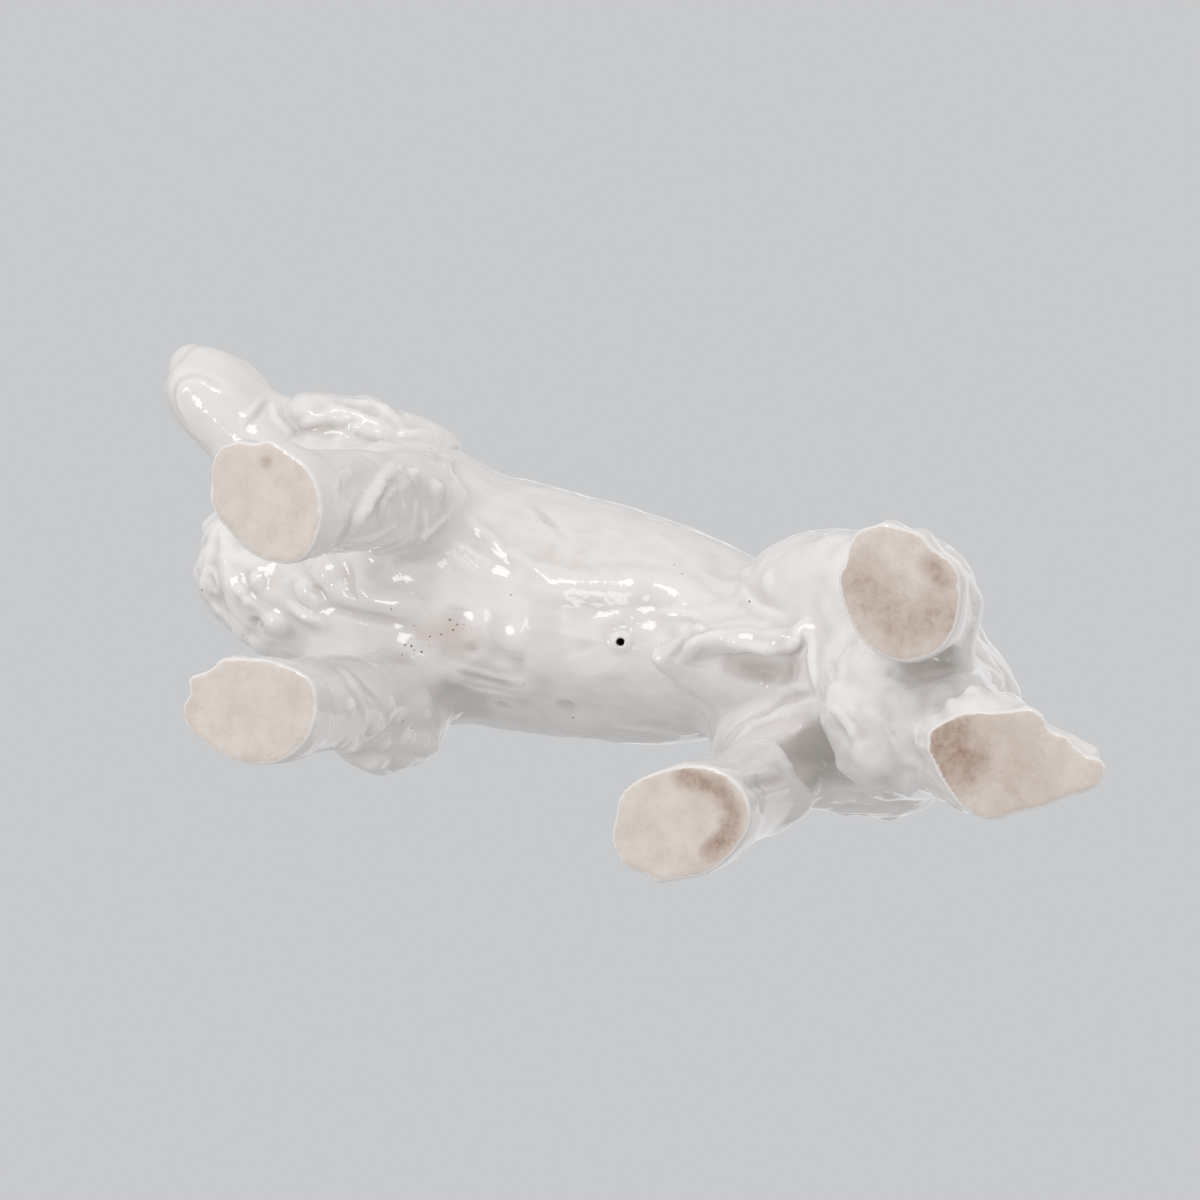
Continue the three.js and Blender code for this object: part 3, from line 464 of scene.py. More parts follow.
def hindleg(side, toes_out, shank_ahead, hock_behind, stifle_ahead, thigh_ahead):
    back = HIND_REACH - side * HIND_STRIDE / 2
    paw_y = side * HIND_STANCE / 2
    thigh_y = side * (CROUP_WIDTH / 2 - THIGH_WIDTH / 2 + THIGH_OUT)
    return melt(
        SOFTNESS,
        paw(back, paw_y, -side * toes_out),
        shank(
            back - shank_ahead, paw_y - side * SHANK_TUCK, -side * toes_out, HIND_SHANK_TRIM, SHANK_LEAN,
        ),
        chain(
            SOFTNESS,
            ((back + 3, paw_y - side * 3, PAW_HEIGHT / 2), HINDLEG_THICKNESS + 1),
            ((back + hock_behind, paw_y - side * HOCK_TUCK, HOCK_HEIGHT), HINDLEG_THICKNESS),
            ((HIND_REACH - stifle_ahead, side * (CROUP_WIDTH / 2 - 6), STIFLE_HEIGHT), STIFLE_WIDTH),
        ),
        egg(
            (HIND_REACH - thigh_ahead, thigh_y, STIFLE_HEIGHT + THIGH_DEPTH / 3),
            (THIGH_LENGTH, THIGH_WIDTH, THIGH_DEPTH), pitched(-THIGH_TILT),
        ),
        egg(
            (HIND_REACH - 6, thigh_y + side * 3, STIFLE_HEIGHT + THIGH_DEPTH / 2),
            (BUTTOCK_LENGTH, BUTTOCK_WIDTH, BUTTOCK_DEPTH), pitched(-THIGH_TILT / 2),
        ),
    )


# Tail: a column of hair that fans out on the ground, with the long hair behind the thighs grown into it


def tail():
    croup_end = CROUP_SETBACK + CROUP_LENGTH / 2
    breeches = (
        (croup_end - 30, MIDDLE - 1, STIFLE_HEIGHT + 7),
        (croup_end - 14, MIDDLE - 1, STIFLE_HEIGHT - 4),
        (croup_end + 4, MIDDLE + 1, 0.6 * STIFLE_HEIGHT),
        (TAIL_REACH - 21, MIDDLE + 1, 0.27 * STIFLE_HEIGHT),
    )
    return melt(
        SOFTNESS,
        chain(
            SOFTNESS,
            ((croup_end - 16, MIDDLE, CROUP_HEIGHT - 26), TAIL_THICKNESS + 3),
            ((croup_end, MIDDLE, CROUP_HEIGHT - 56), TAIL_THICKNESS),
            ((croup_end + 7.5, MIDDLE, 0.3 * CROUP_HEIGHT), TAIL_THICKNESS),
            ((TAIL_REACH - 10, MIDDLE, 0.28 * PLUME_LENGTH), TAIL_THICKNESS - 2),
        ),
        melt(
            CRISP_SOFTNESS,
            standing_on(SOLE_OUTLINES["tail"], PLUME_LENGTH, PLUME_LEAN, PLUME_DRAW_IN, times=1),
            taper(*PLUME_TIP),
        ),
        chain(1.5 * SOFTNESS, *zip(breeches, BREECHES_WIDTHS)),
    )


def belly_tuft():
    """A lock that hangs from the belly, with a thin rim along its left side."""
    top = BRISKET_HEIGHT + 3
    middle = CROUP_SETBACK - TUFT_AHEAD
    lie = turned("Z", TUFT_TURN) @ pitched(TUFT_TILT)
    rim = [((middle + behind, right, top + up), width) for (behind, right, up), width in TUFT_RIM]
    return melt(
        TUFT_SOFTNESS,
        egg((middle, 0, top + 2), (TUFT_LENGTH, TUFT_WIDTH, 1.35 * TUFT_DEPTH), lie),
        chain(2 * CRISP_SOFTNESS, *rim),
    )


# The whole dog in the round

body_form = melt(1.7 * SOFTNESS, trunk(), neck())
limb_forms = [
    head(), foreleg(LEFT, **LEFT_FORE), foreleg(RIGHT, **RIGHT_FORE),
    hindleg(LEFT, **LEFT_HIND), hindleg(RIGHT, **RIGHT_HIND),
]
laid_on = {
    "ear_left": ear(LEFT, **LEFT_EAR),
    "ear_right": ear(RIGHT, **RIGHT_EAR),
    "tail": tail(),
    "belly_tuft": belly_tuft(),
}


def dog_in_round(points):
    """Distance to the trunk, neck, head and legs, without what is laid on them."""
    body = np.full(len(points), FAR)
    near = body_form.near(points)
    body[near] = body_form.distance(points[near])
    d = body.copy()
    for form in limb_forms:
        near = form.near(points)
        joined = soften(body[near], form.distance(points[near]), SOFTNESS)
        d[near] = np.minimum(d[near], joined)
    return d


# Hollows pressed in between the hind legs and the tail
hollows = [
    egg(place, size, pitched(tilt))
    for place, size, tilt in (
        ((138, 18.5, 64), (20, 15, 28), -14),
        ((167, -15.5, 34), (13, 8, 18), -25),
    )
]


def figure(points):
    d = dog_in_round(points)
    for name, form in laid_on.items():
        near = form.near(points)
        d[near] = soften(d[near], form.distance(points[near]), LAID_ON_SOFTNESS[name])
    for form in hollows:
        near = form.near(points)
        d[near] = -soften(-d[near], form.distance(points[near]), FIRM_SOFTNESS)
    return d


SOLE_ROUNDING = 0.9
VENT = (67, 1.4)
VENT_WIDTH, VENT_DEPTH = 1.9, 5
vent = taper((*VENT, BRISKET_HEIGHT - 3), (*VENT, BRISKET_HEIGHT + VENT_DEPTH + 3), VENT_WIDTH, VENT_WIDTH)


def standing_figure(points):
    """The figure, ground flat on the five soles with a slightly rounded rim, and the vent in its belly."""
    d = -soften(-figure(points), points[:, 2], SOLE_ROUNDING)
    near = vent.near(points, 2)
    d[near] = np.maximum(d[near], -vent.distance(points[near]))
    return d


# Skin: one corner to a cell of the sections that the form is sampled on

CORNERS = [(i & 1, (i >> 1) & 1, i >> 2) for i in range(8)]
BLOCK = 8
SKIN_MARGIN = 4
JUST_INSIDE = -0.02


def sections(low, high, *finer):
    """Places of the sections from low to high, with closer spans given as start, end and pitch."""
    places = [low]
    while places[-1] < high or (len(places) - 1) % BLOCK:
        pitches = [pitch for start, end, pitch in finer if start <= places[-1] < end]
        places.append(places[-1] + min(pitches, default=MEDIUM))
    return np.array(places)


def sampled(form, xs, ys, zs):
    """The form on every section crossing near its skin, and only its sign elsewhere."""
    axes = (xs, ys, zs)
    centres = np.stack(np.meshgrid(*(a[BLOCK // 2 :: BLOCK] for a in axes), indexing="ij"), -1)
    shape = centres.shape[:3]
    middle = form(centres.reshape(-1, 3)).reshape(shape)
    spans = [a[BLOCK::BLOCK] - a[:-1:BLOCK] for a in axes]
    reach = 0.5 * math.sqrt(sum(s.max() ** 2 for s in spans)) + SKIN_MARGIN
    values = np.where(middle < 0, -FAR, FAR)
    for axis in range(3):
        values = np.repeat(values, BLOCK, axis)
    values = np.pad(values, [(0, 1)] * 3, mode="edge")
    wanted = np.zeros(values.shape, bool)
    for i, j, k in np.argwhere(np.abs(middle) < reach) * BLOCK:
        wanted[i : i + BLOCK + 1, j : j + BLOCK + 1, k : k + BLOCK + 1] = True
    at = np.argwhere(wanted)
    points = np.stack([axes[n][at[:, n]] for n in range(3)], 1)
    values[tuple(at.T)] = form(points)
    return values


def is_simple_table():
    """Which of the 256 cells have one inside and one outside, with no face crossed corner to corner."""
    faces = ((0, 1, 3, 2), (4, 5, 7, 6), (0, 1, 5, 4), (2, 3, 7, 6), (0, 2, 6, 4), (1, 3, 7, 5))

    def is_whole(mask):
        members = {i for i in range(8) if (mask >> i) & 1}
        reached, open_ = set(), list(members)[:1]
        while open_:
            i = open_.pop()
            if i not in reached:
                reached.add(i)
                open_ += [i ^ step for step in (1, 2, 4) if i ^ step in members]
        return reached == members

    def is_crossed(mask):
        for face in faces:
            a, b, c, d = ((mask >> i) & 1 for i in face)
            if a == c and b == d and a != b:
                return True
        return False

    return np.array([not is_crossed(m) and is_whole(m) and is_whole(255 - m) for m in range(256)])


def cell_masks(values):
    inside = values < 0
    n = np.array(values.shape) - 1
    masks = np.zeros(n, np.uint8)
    for bit, (i, j, k) in enumerate(CORNERS):
        masks |= inside[i : i + n[0], j : j + n[1], k : k + n[2]].astype(np.uint8) << bit
    return masks


def skin(form, xs, ys, zs):
    """Corners and four-sided faces of the form's skin."""
    values = sampled(form, xs, ys, zs)
    simple = is_simple_table()
    masks = cell_masks(values)
    while len(bad := np.argwhere(~simple[masks])):
        for cell in bad:
            corners = [tuple(cell + np.array(c)) for c in CORNERS]
            empty = [c for c in corners if values[c] >= 0]
            if empty:
                values[min(empty, key=lambda c: values[c])] = JUST_INSIDE
        masks = cell_masks(values)
    cells = np.argwhere((masks > 0) & (masks < 255))
    number = np.full(masks.shape, -1)
    number[tuple(cells.T)] = np.arange(len(cells))
    total = np.zeros((len(cells), 3))
    count = np.zeros(len(cells))
    for a, corner_a in enumerate(CORNERS):
        for step in (1, 2, 4):
            if not a & step:
                corner_b = CORNERS[a | step]
                va = values[tuple((cells + corner_a).T)]
                vb = values[tuple((cells + corner_b).T)]
                crossed = (va < 0) != (vb < 0)
                t = np.where(crossed, va / np.where(crossed, va - vb, 1), 0)
                place = np.array(corner_a) + t[:, None] * (np.array(corner_b) - corner_a)
                total += np.where(crossed[:, None], place, 0)
                count += crossed
    share = total / count[:, None]
    points = np.empty((len(cells), 3))
    for axis, places in enumerate((xs, ys, zs)):
        low = cells[:, axis]
        points[:, axis] = places[low] + share[:, axis] * (places[low + 1] - places[low])
    inside = values < 0
    faces = []
    for axis in range(3):
        u, v = np.eye(3, dtype=int)[(axis + 1) % 3], np.eye(3, dtype=int)[(axis + 2) % 3]
        span = [slice(1, n - 1) for n in values.shape]
        span[axis] = slice(0, values.shape[axis] - 1)
        ahead = list(span)
        ahead[axis] = slice(1, values.shape[axis])
        here = inside[tuple(span)]
        changed = np.argwhere(here != inside[tuple(ahead)])
        leaves = here[tuple(changed.T)]
        at = changed + [s.start for s in span]
        ring = np.stack([number[tuple(c.T)] for c in (at - u - v, at - v, at, at - u)], 1)
        faces.append(np.where(leaves[:, None], ring, ring[:, ::-1]))
    return points, np.concatenate(faces)


# Pitch of the sections, closer at the chest, the paws and the vent
MEDIUM, FINE, FINEST = 1.0, 0.85, 0.4
AHEAD_OF_NOSE, LEFT_OF_DOG, BELOW_SOLES = -150, -62, -4.3
BEHIND_TAIL, RIGHT_OF_DOG, ABOVE_HEAD = TAIL_REACH + 30, 58, 248
BEHIND_CHEST = -44
at_vent = [(place - VENT_WIDTH, place + VENT_WIDTH, FINEST) for place in VENT]
xs = sections(AHEAD_OF_NOSE, BEHIND_TAIL, (AHEAD_OF_NOSE, BEHIND_CHEST, FINE), at_vent[0])
ys = sections(LEFT_OF_DOG, RIGHT_OF_DOG, at_vent[1])
zs = sections(BELOW_SOLES, ABOVE_HEAD, (BELOW_SOLES, 1.2 * PAW_HEIGHT, FINE))
points, faces = skin(standing_figure, xs, ys, zs)


# Pieces: the skin is parted where the castings were luted together

JOINT_SLOPE = 0.95
FORELEG_JOINT, HIND_JOINT = BRISKET_HEIGHT - 17, BRISKET_HEIGHT - 10
FORELEG_SPAN = (-FORECHEST_REACH, 0.7 * LOIN_SETBACK)
HIND_SPAN = (HIND_REACH - THIGH_LENGTH, TAIL_REACH + TAIL_SOLE_LENGTH)
PIECES = [
    "torso", "head", "foreleg_left", "foreleg_right", "hind_leg_left", "hind_leg_right",
    "ear_left", "ear_right", "tail", "belly_tuft",
]


def piece_of(places):
    """The number in PIECES of the casting that each place belongs to."""
    x, y, z = places.T
    owner = np.zeros(len(places), int)
    owner[(places - NECK_JOINT) @ NECK_AXIS > 0] = PIECES.index("head")
    legs = (("foreleg", FORELEG_SPAN, FORELEG_JOINT), ("hind_leg", HIND_SPAN, HIND_JOINT))
    for name, (front, rear), joint in legs:
        for hand, side in (("_left", LEFT), ("_right", RIGHT)):
            in_span = (x > front) & (x < rear) & (side * y > 1)
            owner[in_span & (z < joint + JOINT_SLOPE * np.abs(y))] = PIECES.index(name + hand)
    rest = dog_in_round(places)
    for name, form in laid_on.items():
        near = form.near(places, 2)
        own = form.distance(places[near]) < rest[near]
        owner[near[own]] = PIECES.index(name)
    return owner


# Touches on the skin: the modeller's strokes, which the glaze then softens

order = np.argsort(points[:, 0])
ordered_x = points[order, 0]


def corner_normals(places, faces):
    diagonals = np.cross(places[faces[:, 2]] - places[faces[:, 0]], places[faces[:, 3]] - places[faces[:, 1]])
    lay = np.zeros_like(places)
    for n in range(4):
        for axis in range(3):
            lay[:, axis] += np.bincount(faces[:, n], diagonals[:, axis], len(places))
    return lay / (np.linalg.norm(lay, axis=1)[:, None] + 1e-12)


def levelled(field, passes):
    """The field after each corner has met its neighbours' mean that many times."""
    for _ in range(passes):
        whole = field[faces].sum(1)
        total, count = np.zeros(len(points)), np.zeros(len(points))
        for n in range(4):
            total += np.bincount(faces[:, n], whole, len(points))
            count += np.bincount(faces[:, n], minlength=len(points)) * 4
        field = total / count
    return field


LATTICE = 48


def lumps(places, pitch, seed):
    """Smooth unevenness between -1 and 1 whose hills are about a pitch apart."""
    lattice = np.random.default_rng(seed).random((LATTICE, LATTICE, LATTICE)) * 2 - 1
    cell = np.floor(places / pitch).astype(int)
    t = places / pitch - cell
    t = t * t * (3 - 2 * t)
    value = np.zeros(len(places))
    for i, j, k in CORNERS:
        share = np.abs(1 - i - t[:, 0]) * np.abs(1 - j - t[:, 1]) * np.abs(1 - k - t[:, 2])
        value += share * lattice[tuple((cell + (i, j, k)).T % LATTICE)]
    return value


def round_top(run, width):
    """Corners within half a width of the run, how far along it they lie, and their rise there."""
    low, high = run.min(0) - width / 2, run.max(0) + width / 2
    first, last = np.searchsorted(ordered_x, [low[0], high[0]])
    near = order[first:last]
    near = near[((points[near, 1:] > low[1:]) & (points[near, 1:] < high[1:])).all(1)]
    best, along = np.full(len(near), FAR), np.zeros(len(near))
    for n in range(max(1, len(run) - 1)):
        a, b = run[n], run[min(n + 1, len(run) - 1)]
        q = points[near] - a
        t = np.clip(q @ (b - a) / ((b - a) @ (b - a) + 1e-9), 0, 1)
        gap = np.linalg.norm(q - t[:, None] * (b - a), axis=1)
        closer = gap < best
        best[closer] = gap[closer]
        along[closer] = (n + t[closer]) / max(1, len(run) - 1)
    rise = np.clip(1 - (2 * best / width) ** 2, 0, 1) ** 1.5
    return near, along, rise


def lay_lock(relief, run, width, height, blunt=False):
    """A lock of hair or a groove along the run, drawn out to a point at both ends."""
    near, along, rise = round_top(run, width)
    if len(run) > 1 and not blunt:
        rise = rise * np.sqrt(np.sin(math.pi * np.clip(along, 0.04, 0.96)))
    if height > 0:
        relief[near] = np.maximum(relief[near], height * rise)
    else:
        relief[near] = np.minimum(relief[near], height * rise)


normals = corner_normals(points, faces)
skin_tree = BVHTree.FromPolygons(points.tolist(), faces.tolist())


def on_skin(pixel):
    """The place on the dog that a pixel of the photograph shows."""
    across, down = ((c - PHOTO_SIZE / 2) / FOCAL_LENGTH_PIXELS for c in pixel)
    ray = INTO_PHOTO + across * TO_PHOTO_RIGHT + down * TO_PHOTO_FOOT
    hit = skin_tree.ray_cast(Vector(CAMERA_PLACE), Vector(ray).normalized())[0]
    return None if hit is None else np.array(hit)


def run_on_skin(pixels):
    hits = [on_skin(pixel) for pixel in pixels]
    return np.array([hit for hit in hits if hit is not None])


# Coat: how the hair lies on each piece, and how long, broad and high its locks are

CHEST_FRONT, NAPE_FRONT = -42, -72


def flow_of(piece, place, lay):
    x, y, z = place
    if piece == "torso" and x < CHEST_FRONT:
        return (0.5, 0.9 * math.sin(z / 5) + 0.3 * y / 20, -0.8)
    if piece == "torso" and lay[2] < -0.35:
        return (1, 0.35 * math.sin(x / 13 + y / 7), 0)
    if piece == "torso":
        return (1, 0, -0.35 - 0.2 * math.sin(x / 17))
    if piece == "head":
        return (0.7, 0.1 * y, -0.8) if x > NAPE_FRONT else HEAD_TURNED @ np.array([1, 0, -0.3])
    if piece.startswith("ear"):
        return (0.8 + 0.4 * math.sin(z / 6), 0.2, -0.7)
    if piece == "belly_tuft":
        return (1, -0.4, -0.3)
    if piece == "tail":
        return (0.35 + 0.2 * math.sin(z / 11 + y / 5), 0.2 * math.sin(z / 9), -1)
    return (0.45 + 0.2 * math.sin(z / 9 + y / 4), 0, -1)


# For each piece: how many locks, and their length, width and height
COAT = {
    "torso": (700, 16, 4.2, 0.4), "head": (150, 9, 3.2, 0.22), "foreleg_left": (50, 12, 3.6, 0.25),
    "foreleg_right": (50, 12, 3.6, 0.25), "hind_leg_left": (110, 13, 3.8, 0.3),
    "hind_leg_right": (110, 13, 3.8, 0.3), "ear_left": (70, 14, 3.4, 0.6), "ear_right": (70, 14, 3.4, 0.6),
    "tail": (120, 20, 4.4, 0.8), "belly_tuft": (30, 14, 3.6, 0.5),
}
STEP = 2.4
COMBED_FROM = 6
BEND = 0.25
LENGTHS, SWELLS = (0.6, 1.3), (0.6, 1.2)
CHEST_SWELL = 1.5


def comb(relief, labels):
    """Lays each piece's locks from chance places, each following the flow over the skin."""
    chance = np.random.default_rng(SEED)
    for piece, (count, length, width, height) in COAT.items():
        own = np.flatnonzero((labels == PIECES.index(piece)) & (points[:, 2] > COMBED_FROM))
        for start in chance.choice(own, count):
            place, lay = points[start], normals[start]
            run = [place]
            bend = chance.normal(0, BEND, 3)
            for _ in range(int(length * chance.uniform(*LENGTHS) / STEP)):
                heading = np.array(flow_of(piece, place, lay)) + bend
                heading -= (heading @ lay) * lay
                heading /= np.linalg.norm(heading) + 1e-9
                hit, facing, _, _ = skin_tree.find_nearest(Vector(place + STEP * heading))
                place, lay = np.array(hit), np.array(facing)
                run.append(place)
            swell = chance.uniform(*SWELLS)
            rise = CHEST_SWELL if piece == "torso" and run[0][0] < CHEST_FRONT else 1
            lay_lock(relief, np.array(run), width * swell, height * swell * rise)


# Strokes that the photograph shows: their width, their height and the pixels that each runs through

PHOTO_STROKES = {
    "mouth": (2.6, -0.7, [(174, 411), (174, 387), (179.7, 380.5), (190.6, 376), (203.7, 377), (221, 387)]),
    "lower_lip": (3.5, 0.3, [(178, 412), (179, 390), (190, 381), (203, 382), (218, 391)]),
    "jaw_line": (2.6, -0.5, [(175, 411), (186, 431), (204, 446)]),
    "lip_corner": (2.5, -0.8, [(267, 400), (260, 411), (247, 426)]),
    "lip_fold": (3, 0.6, [(262, 398), (254, 410), (242, 423)]),
    "ear_front_border": (3.5, 1.35, [(273, 404), (276, 418), (291, 433)]),
    "ear_front_lock": (4, 1.22, [(278, 424), (308, 422), (330, 415)]),
    "ear_upper_lock": (5, 1.62, [(334, 409), (356, 415), (389, 431)]),
    "ear_middle_lock": (3.5, 1.22, [(337, 420), (367, 431), (389, 439)]),
    "ear_rear_lock": (4, 1.35, [(400, 435), (428, 433)]),
    "ear_hump": (6, 1.62, [(350, 402), (375, 406), (396, 418)]),
    "ear_end_curl": (5, 1.62, [(430, 455), (446, 458), (445, 470)]),
    "ear_groove": (2.5, -1.08, [(310, 428), (350, 425), (395, 442)]),
    "elbow_s_lock": (5, 3.74, [(397, 465), (380, 480), (366, 500), (354, 518), (345, 540)]),
    "elbow_hook_lock": (3.5, 2.72, [(398, 489), (388, 492), (379, 504), (382, 518)]),
    "elbow_curl": (5, 3.06, [(414, 475)]),
    "elbow_ring": (5, 2.72, [(438, 489)]),
    "elbow_strands": (
        2.4, 1.7, [(410, 502), (408, 519)], [(422, 502), (415, 531)], [(430, 512), (424, 540)],
    ),
    "elbow_hollow": (20, -2.4, [(388, 520), (418, 506), (440, 508)]),
    "arm_hollow": (9, -1.4, [(340, 500), (352, 480), (372, 462)]),
    "feather_edge": (2.6, 2.55, [(449, 516), (422, 538), (390, 560)]),
    "feather_under_edge": (
        3, 1.36, [(341, 543), (373, 538), (400, 528)], [(356, 557), (385, 550), (410, 540)],
    ),
    "right_elbow_outer_lobes": (9, 2, [(343, 742), (356, 748)], [(430, 750), (436, 740)]),
    "right_elbow_low_lobe": (8, 2.4, [(368, 757), (380, 762)]),
    "right_elbow_end_lobe": (9, 2.4, [(398, 762), (414, 764)]),
    "right_elbow_front_bump": (6, 1.4, [(352, 706)]),
    "right_elbow_middle_bump": (6, 1.6, [(374, 728)]),
    "right_elbow_upper_bump": (5, 1.4, [(392, 704)]),
    "right_elbow_rear_bump": (7, 1.6, [(408, 736)]),
    "right_elbow_low_bump": (5, 1.2, [(384, 744)]),
    "right_elbow_ridge": (4, 1.76, [(333, 664), (352, 686), (366, 712)]),
    "right_elbow_groove": (3, -1.44, [(345, 668), (368, 690), (388, 722)]),
    "chest_stripes": (3.4, 1.44, [(223, 528), (225, 548)], [(233, 532), (229, 555)]),
    "ruff_upper_lobes": (13, 2, [(205, 530), (212, 534)], [(201, 556), (208, 558)]),
    "ruff_middle_lobe": (12, 1.8, [(206, 584), (212, 590)]),
    "ruff_turn_lobe": (9, 1.5, [(214, 611), (222, 610)]),
    "ruff_lower_lobe": (8, 1.5, [(224, 626), (230, 622)]),
    "ruff_end_lobes": (8, 1.4, [(240, 637), (246, 632)], [(256, 644), (262, 638)]),
    "chest_facet_front": (9, 2, [(318, 562), (330, 585)]),
    "chest_facet_middle": (8, 1.8, [(300, 580), (312, 600)]),
    "chest_facet_rear": (10, 1.8, [(352, 588), (372, 596)]),
    "chest_groove": (4, -1.4, [(308, 560), (318, 590), (330, 602)]),
    "chest_ridge": (4.5, 2.4, [(292, 605), (308, 616), (321, 622)]),
    "chest_low_bumps": (5, 1.92, [(245, 591)], [(250, 600)]),
    "chest_upper_bump": (6, 2.08, [(257, 581)]),
    "chest_boss": (10, 2.56, [(277, 624)]),
    "chest_boss_hollow": (4.5, -2.56, [(257, 622)]),
    "breastbone_crease_upper": (5, -1.44, [(346, 567), (352, 586), (361, 605)]),
    "breastbone_crease_lower": (4.5, -1.44, [(321, 605), (358, 615), (400, 622)]),
    "breastbone_fold": (8, 1.6, [(330, 590), (372, 600), (410, 606)]),
    "flank_front_strands": (
        3.4, 1.22, [(436, 543.5), (455, 556), (474, 570)], [(444.6, 538), (466, 550), (488, 564)],
    ),
    "flank_fine_strands": (
        3.4, 1.08, [(471, 520), (488, 535), (503, 552)], [(535, 576), (549, 585), (564, 593)],
    ),
    "flank_broad_strand": (4, 1.35, [(512, 552), (533, 569), (553, 587)]),
    "flank_groove": (4, -0.94, [(532, 503), (548, 521), (564, 538)]),
    "belly_rim": (13, 1.4, [(529, 572), (553, 584), (588, 584), (643, 582), (681, 588), (716, 614)]),
    "belly_rim_edge": (3, 1.22, [(664, 609), (690, 612), (716, 620)]),
    "belly_hollow": (34, -2.4, [(560, 616), (620, 606), (680, 614)]),
    "belly_strands": (
        3, 1.08, [(440, 668), (475, 682), (515, 690)], [(442, 676), (480, 690), (520, 697)],
        [(450, 664), (490, 676), (518, 681)],
    ),
    "belly_rear_strand": (3.4, 1.08, [(605, 722), (650, 729), (693, 734)]),
    "belly_lump": (14, 1.35, [(541, 716), (573, 722), (605, 720)]),
    "belly_dents": (6, -1.22, [(471, 650)], [(501.6, 706)], [(566, 706)]),
    "tuft_front_ridge": (5, 2.56, [(655, 660), (684, 628), (702, 628)]),
    "tuft_second_ridge": (4.5, 2.24, [(681, 663), (696, 640), (719, 634)]),
    "tuft_front_groove": (3, -1.6, [(668, 664), (689, 636), (710, 631)]),
    "tuft_upper_edge": (4, 2.24, [(731, 643), (763, 649), (795, 643), (804, 622)]),
    "tuft_end": (4, 2.24, [(807, 628), (813, 657), (814, 690)]),
    "tuft_fold": (9, -2.56, [(735, 664), (765, 672), (795, 670)]),
    "thigh_crease": (4, -1.62, [(814, 692), (781, 701), (752, 716), (728, 733)]),
    "thigh_crease_lip": (5, 1.35, [(812, 702), (781, 710), (756, 724), (736, 740)]),
    "inner_thigh_lock": (5, 1.49, [(740, 571), (749, 573)]),
    "inner_thigh_bump": (6, 1.49, [(766, 574), (770, 587)]),
    "inner_thigh_ridge": (4, 1.62, [(740, 587), (760, 611), (787, 620)]),
    "right_hock_waves": (
        3.6, 1.22, [(717, 772), (745, 776), (779, 772)], [(786, 765), (803, 779)],
        [(745, 796), (779, 790), (800, 776)],
    ),
    "right_thigh_pit": (14, -1, [(828, 757), (826, 765)]),
    "right_thigh_patch": (5, 1.22, [(838, 714), (848, 726), (855, 738)]),
    "left_hock_recess": (6, -0.8, [(930, 662), (950, 664)]),
    "tail_lines": (3, 1.22, [(945, 686), (952, 707)], [(990, 679), (993, 707)]),
    "tail_curl": (5, 1.35, [(955, 676), (972, 690), (990, 690)]),
    "tail_pit": (3.6, -1.35, [(890, 669)]),
}
RINGS = {"chest_curl": ((214, 581), 3.4, 3, 1.1), "elbow_ring_edge": ((438, 489), 2.4, 2.2, 0.8)}


def ring_on_skin(centre, radius):
    """A closed ring about a place on the skin."""
    middle = on_skin(centre)
    hit, facing, _, _ = skin_tree.find_nearest(Vector(middle))
    lay = np.array(facing)
    side = np.cross(lay, INTO_PHOTO)
    side /= np.linalg.norm(side)
    up = np.cross(side, lay)
    angles = np.linspace(0, 2 * math.pi, 13)
    return middle + radius * (np.cos(angles)[:, None] * side + np.sin(angles)[:, None] * up)


# The face, in the head's own directions: forward, out to each side, and up

FACE_STROKES = {
    "socket": (13, -1.8, [(15, 13.5, 4.5)]), "eye": (6.6, 2.3, [(15.5, 13, 5)]),
    "upper_lid": (2.6, 1.3, [(11, 14.5, 5), (13.5, 13, 8.5), (18, 11.5, 8), (20, 11.5, 4.5)]),
    "lower_lid": (2.2, 0.8, [(11, 15.5, 4), (14.5, 15, 1.5), (19, 12.5, 2.5)]),
    "brow": (7, 1.2, [(9, 12.5, 12), (16, 9, 13)]), "stop": (7, -1.4, [(26, 0, 11), (15, 0, 16), (4, 0, 20)]),
    "nostril": (3, -1.5, [(60, 2.8, 1.5)]), "nostril_wing": (3, 0.6, [(57, 4, 3), (60, 4.6, 1)]),
    "nose_edge": (2.4, -0.6, [(54, 0, 6), (54, 5, 3), (56, 6, -2)]),
    "flew_swell": (8, 0.8, [(46, 8, -5), (34, 11, -7)]), "cheek_swell": (14, 0.8, [(6, 18, -8)]),
}


def near_skin(place):
    return np.array(skin_tree.find_nearest(Vector(place))[0])


labels = piece_of(points)
coat = np.zeros(len(points))
comb(coat, labels)
strokes, grooves = np.zeros(len(points)), np.zeros(len(points))


def stroke(run, width, height, blunt=False):
    lay_lock(strokes if height > 0 else grooves, run, width, height, blunt)


for width, height, *runs in PHOTO_STROKES.values():
    for pixels in runs:
        stroke(run_on_skin(pixels), width, height)
# The mouth is the same on the side of the head that the photograph doesn't show
for name in ("mouth", "lower_lip", "lip_corner", "lip_fold"):
    width, height, pixels = PHOTO_STROKES[name]
    mirrored = (run_on_skin(pixels) - SKULL) @ HEAD_TURNED * (1, -1, 1)
    stroke(np.array([near_skin(place) for place in mirrored @ HEAD_TURNED.T + SKULL]), width, height)
for width, height, places in FACE_STROKES.values():
    for side in (LEFT, RIGHT):
        run = [near_skin(in_head(forward, side * out, up)) for forward, out, up in places]
        stroke(np.array(run), width, height)
for centre, radius, width, height in RINGS.values():
    stroke(ring_on_skin(centre, radius), width, height, blunt=True)


# Relief: broad modelling, the coat and the strokes, fading out at the soles, the vent and in creases

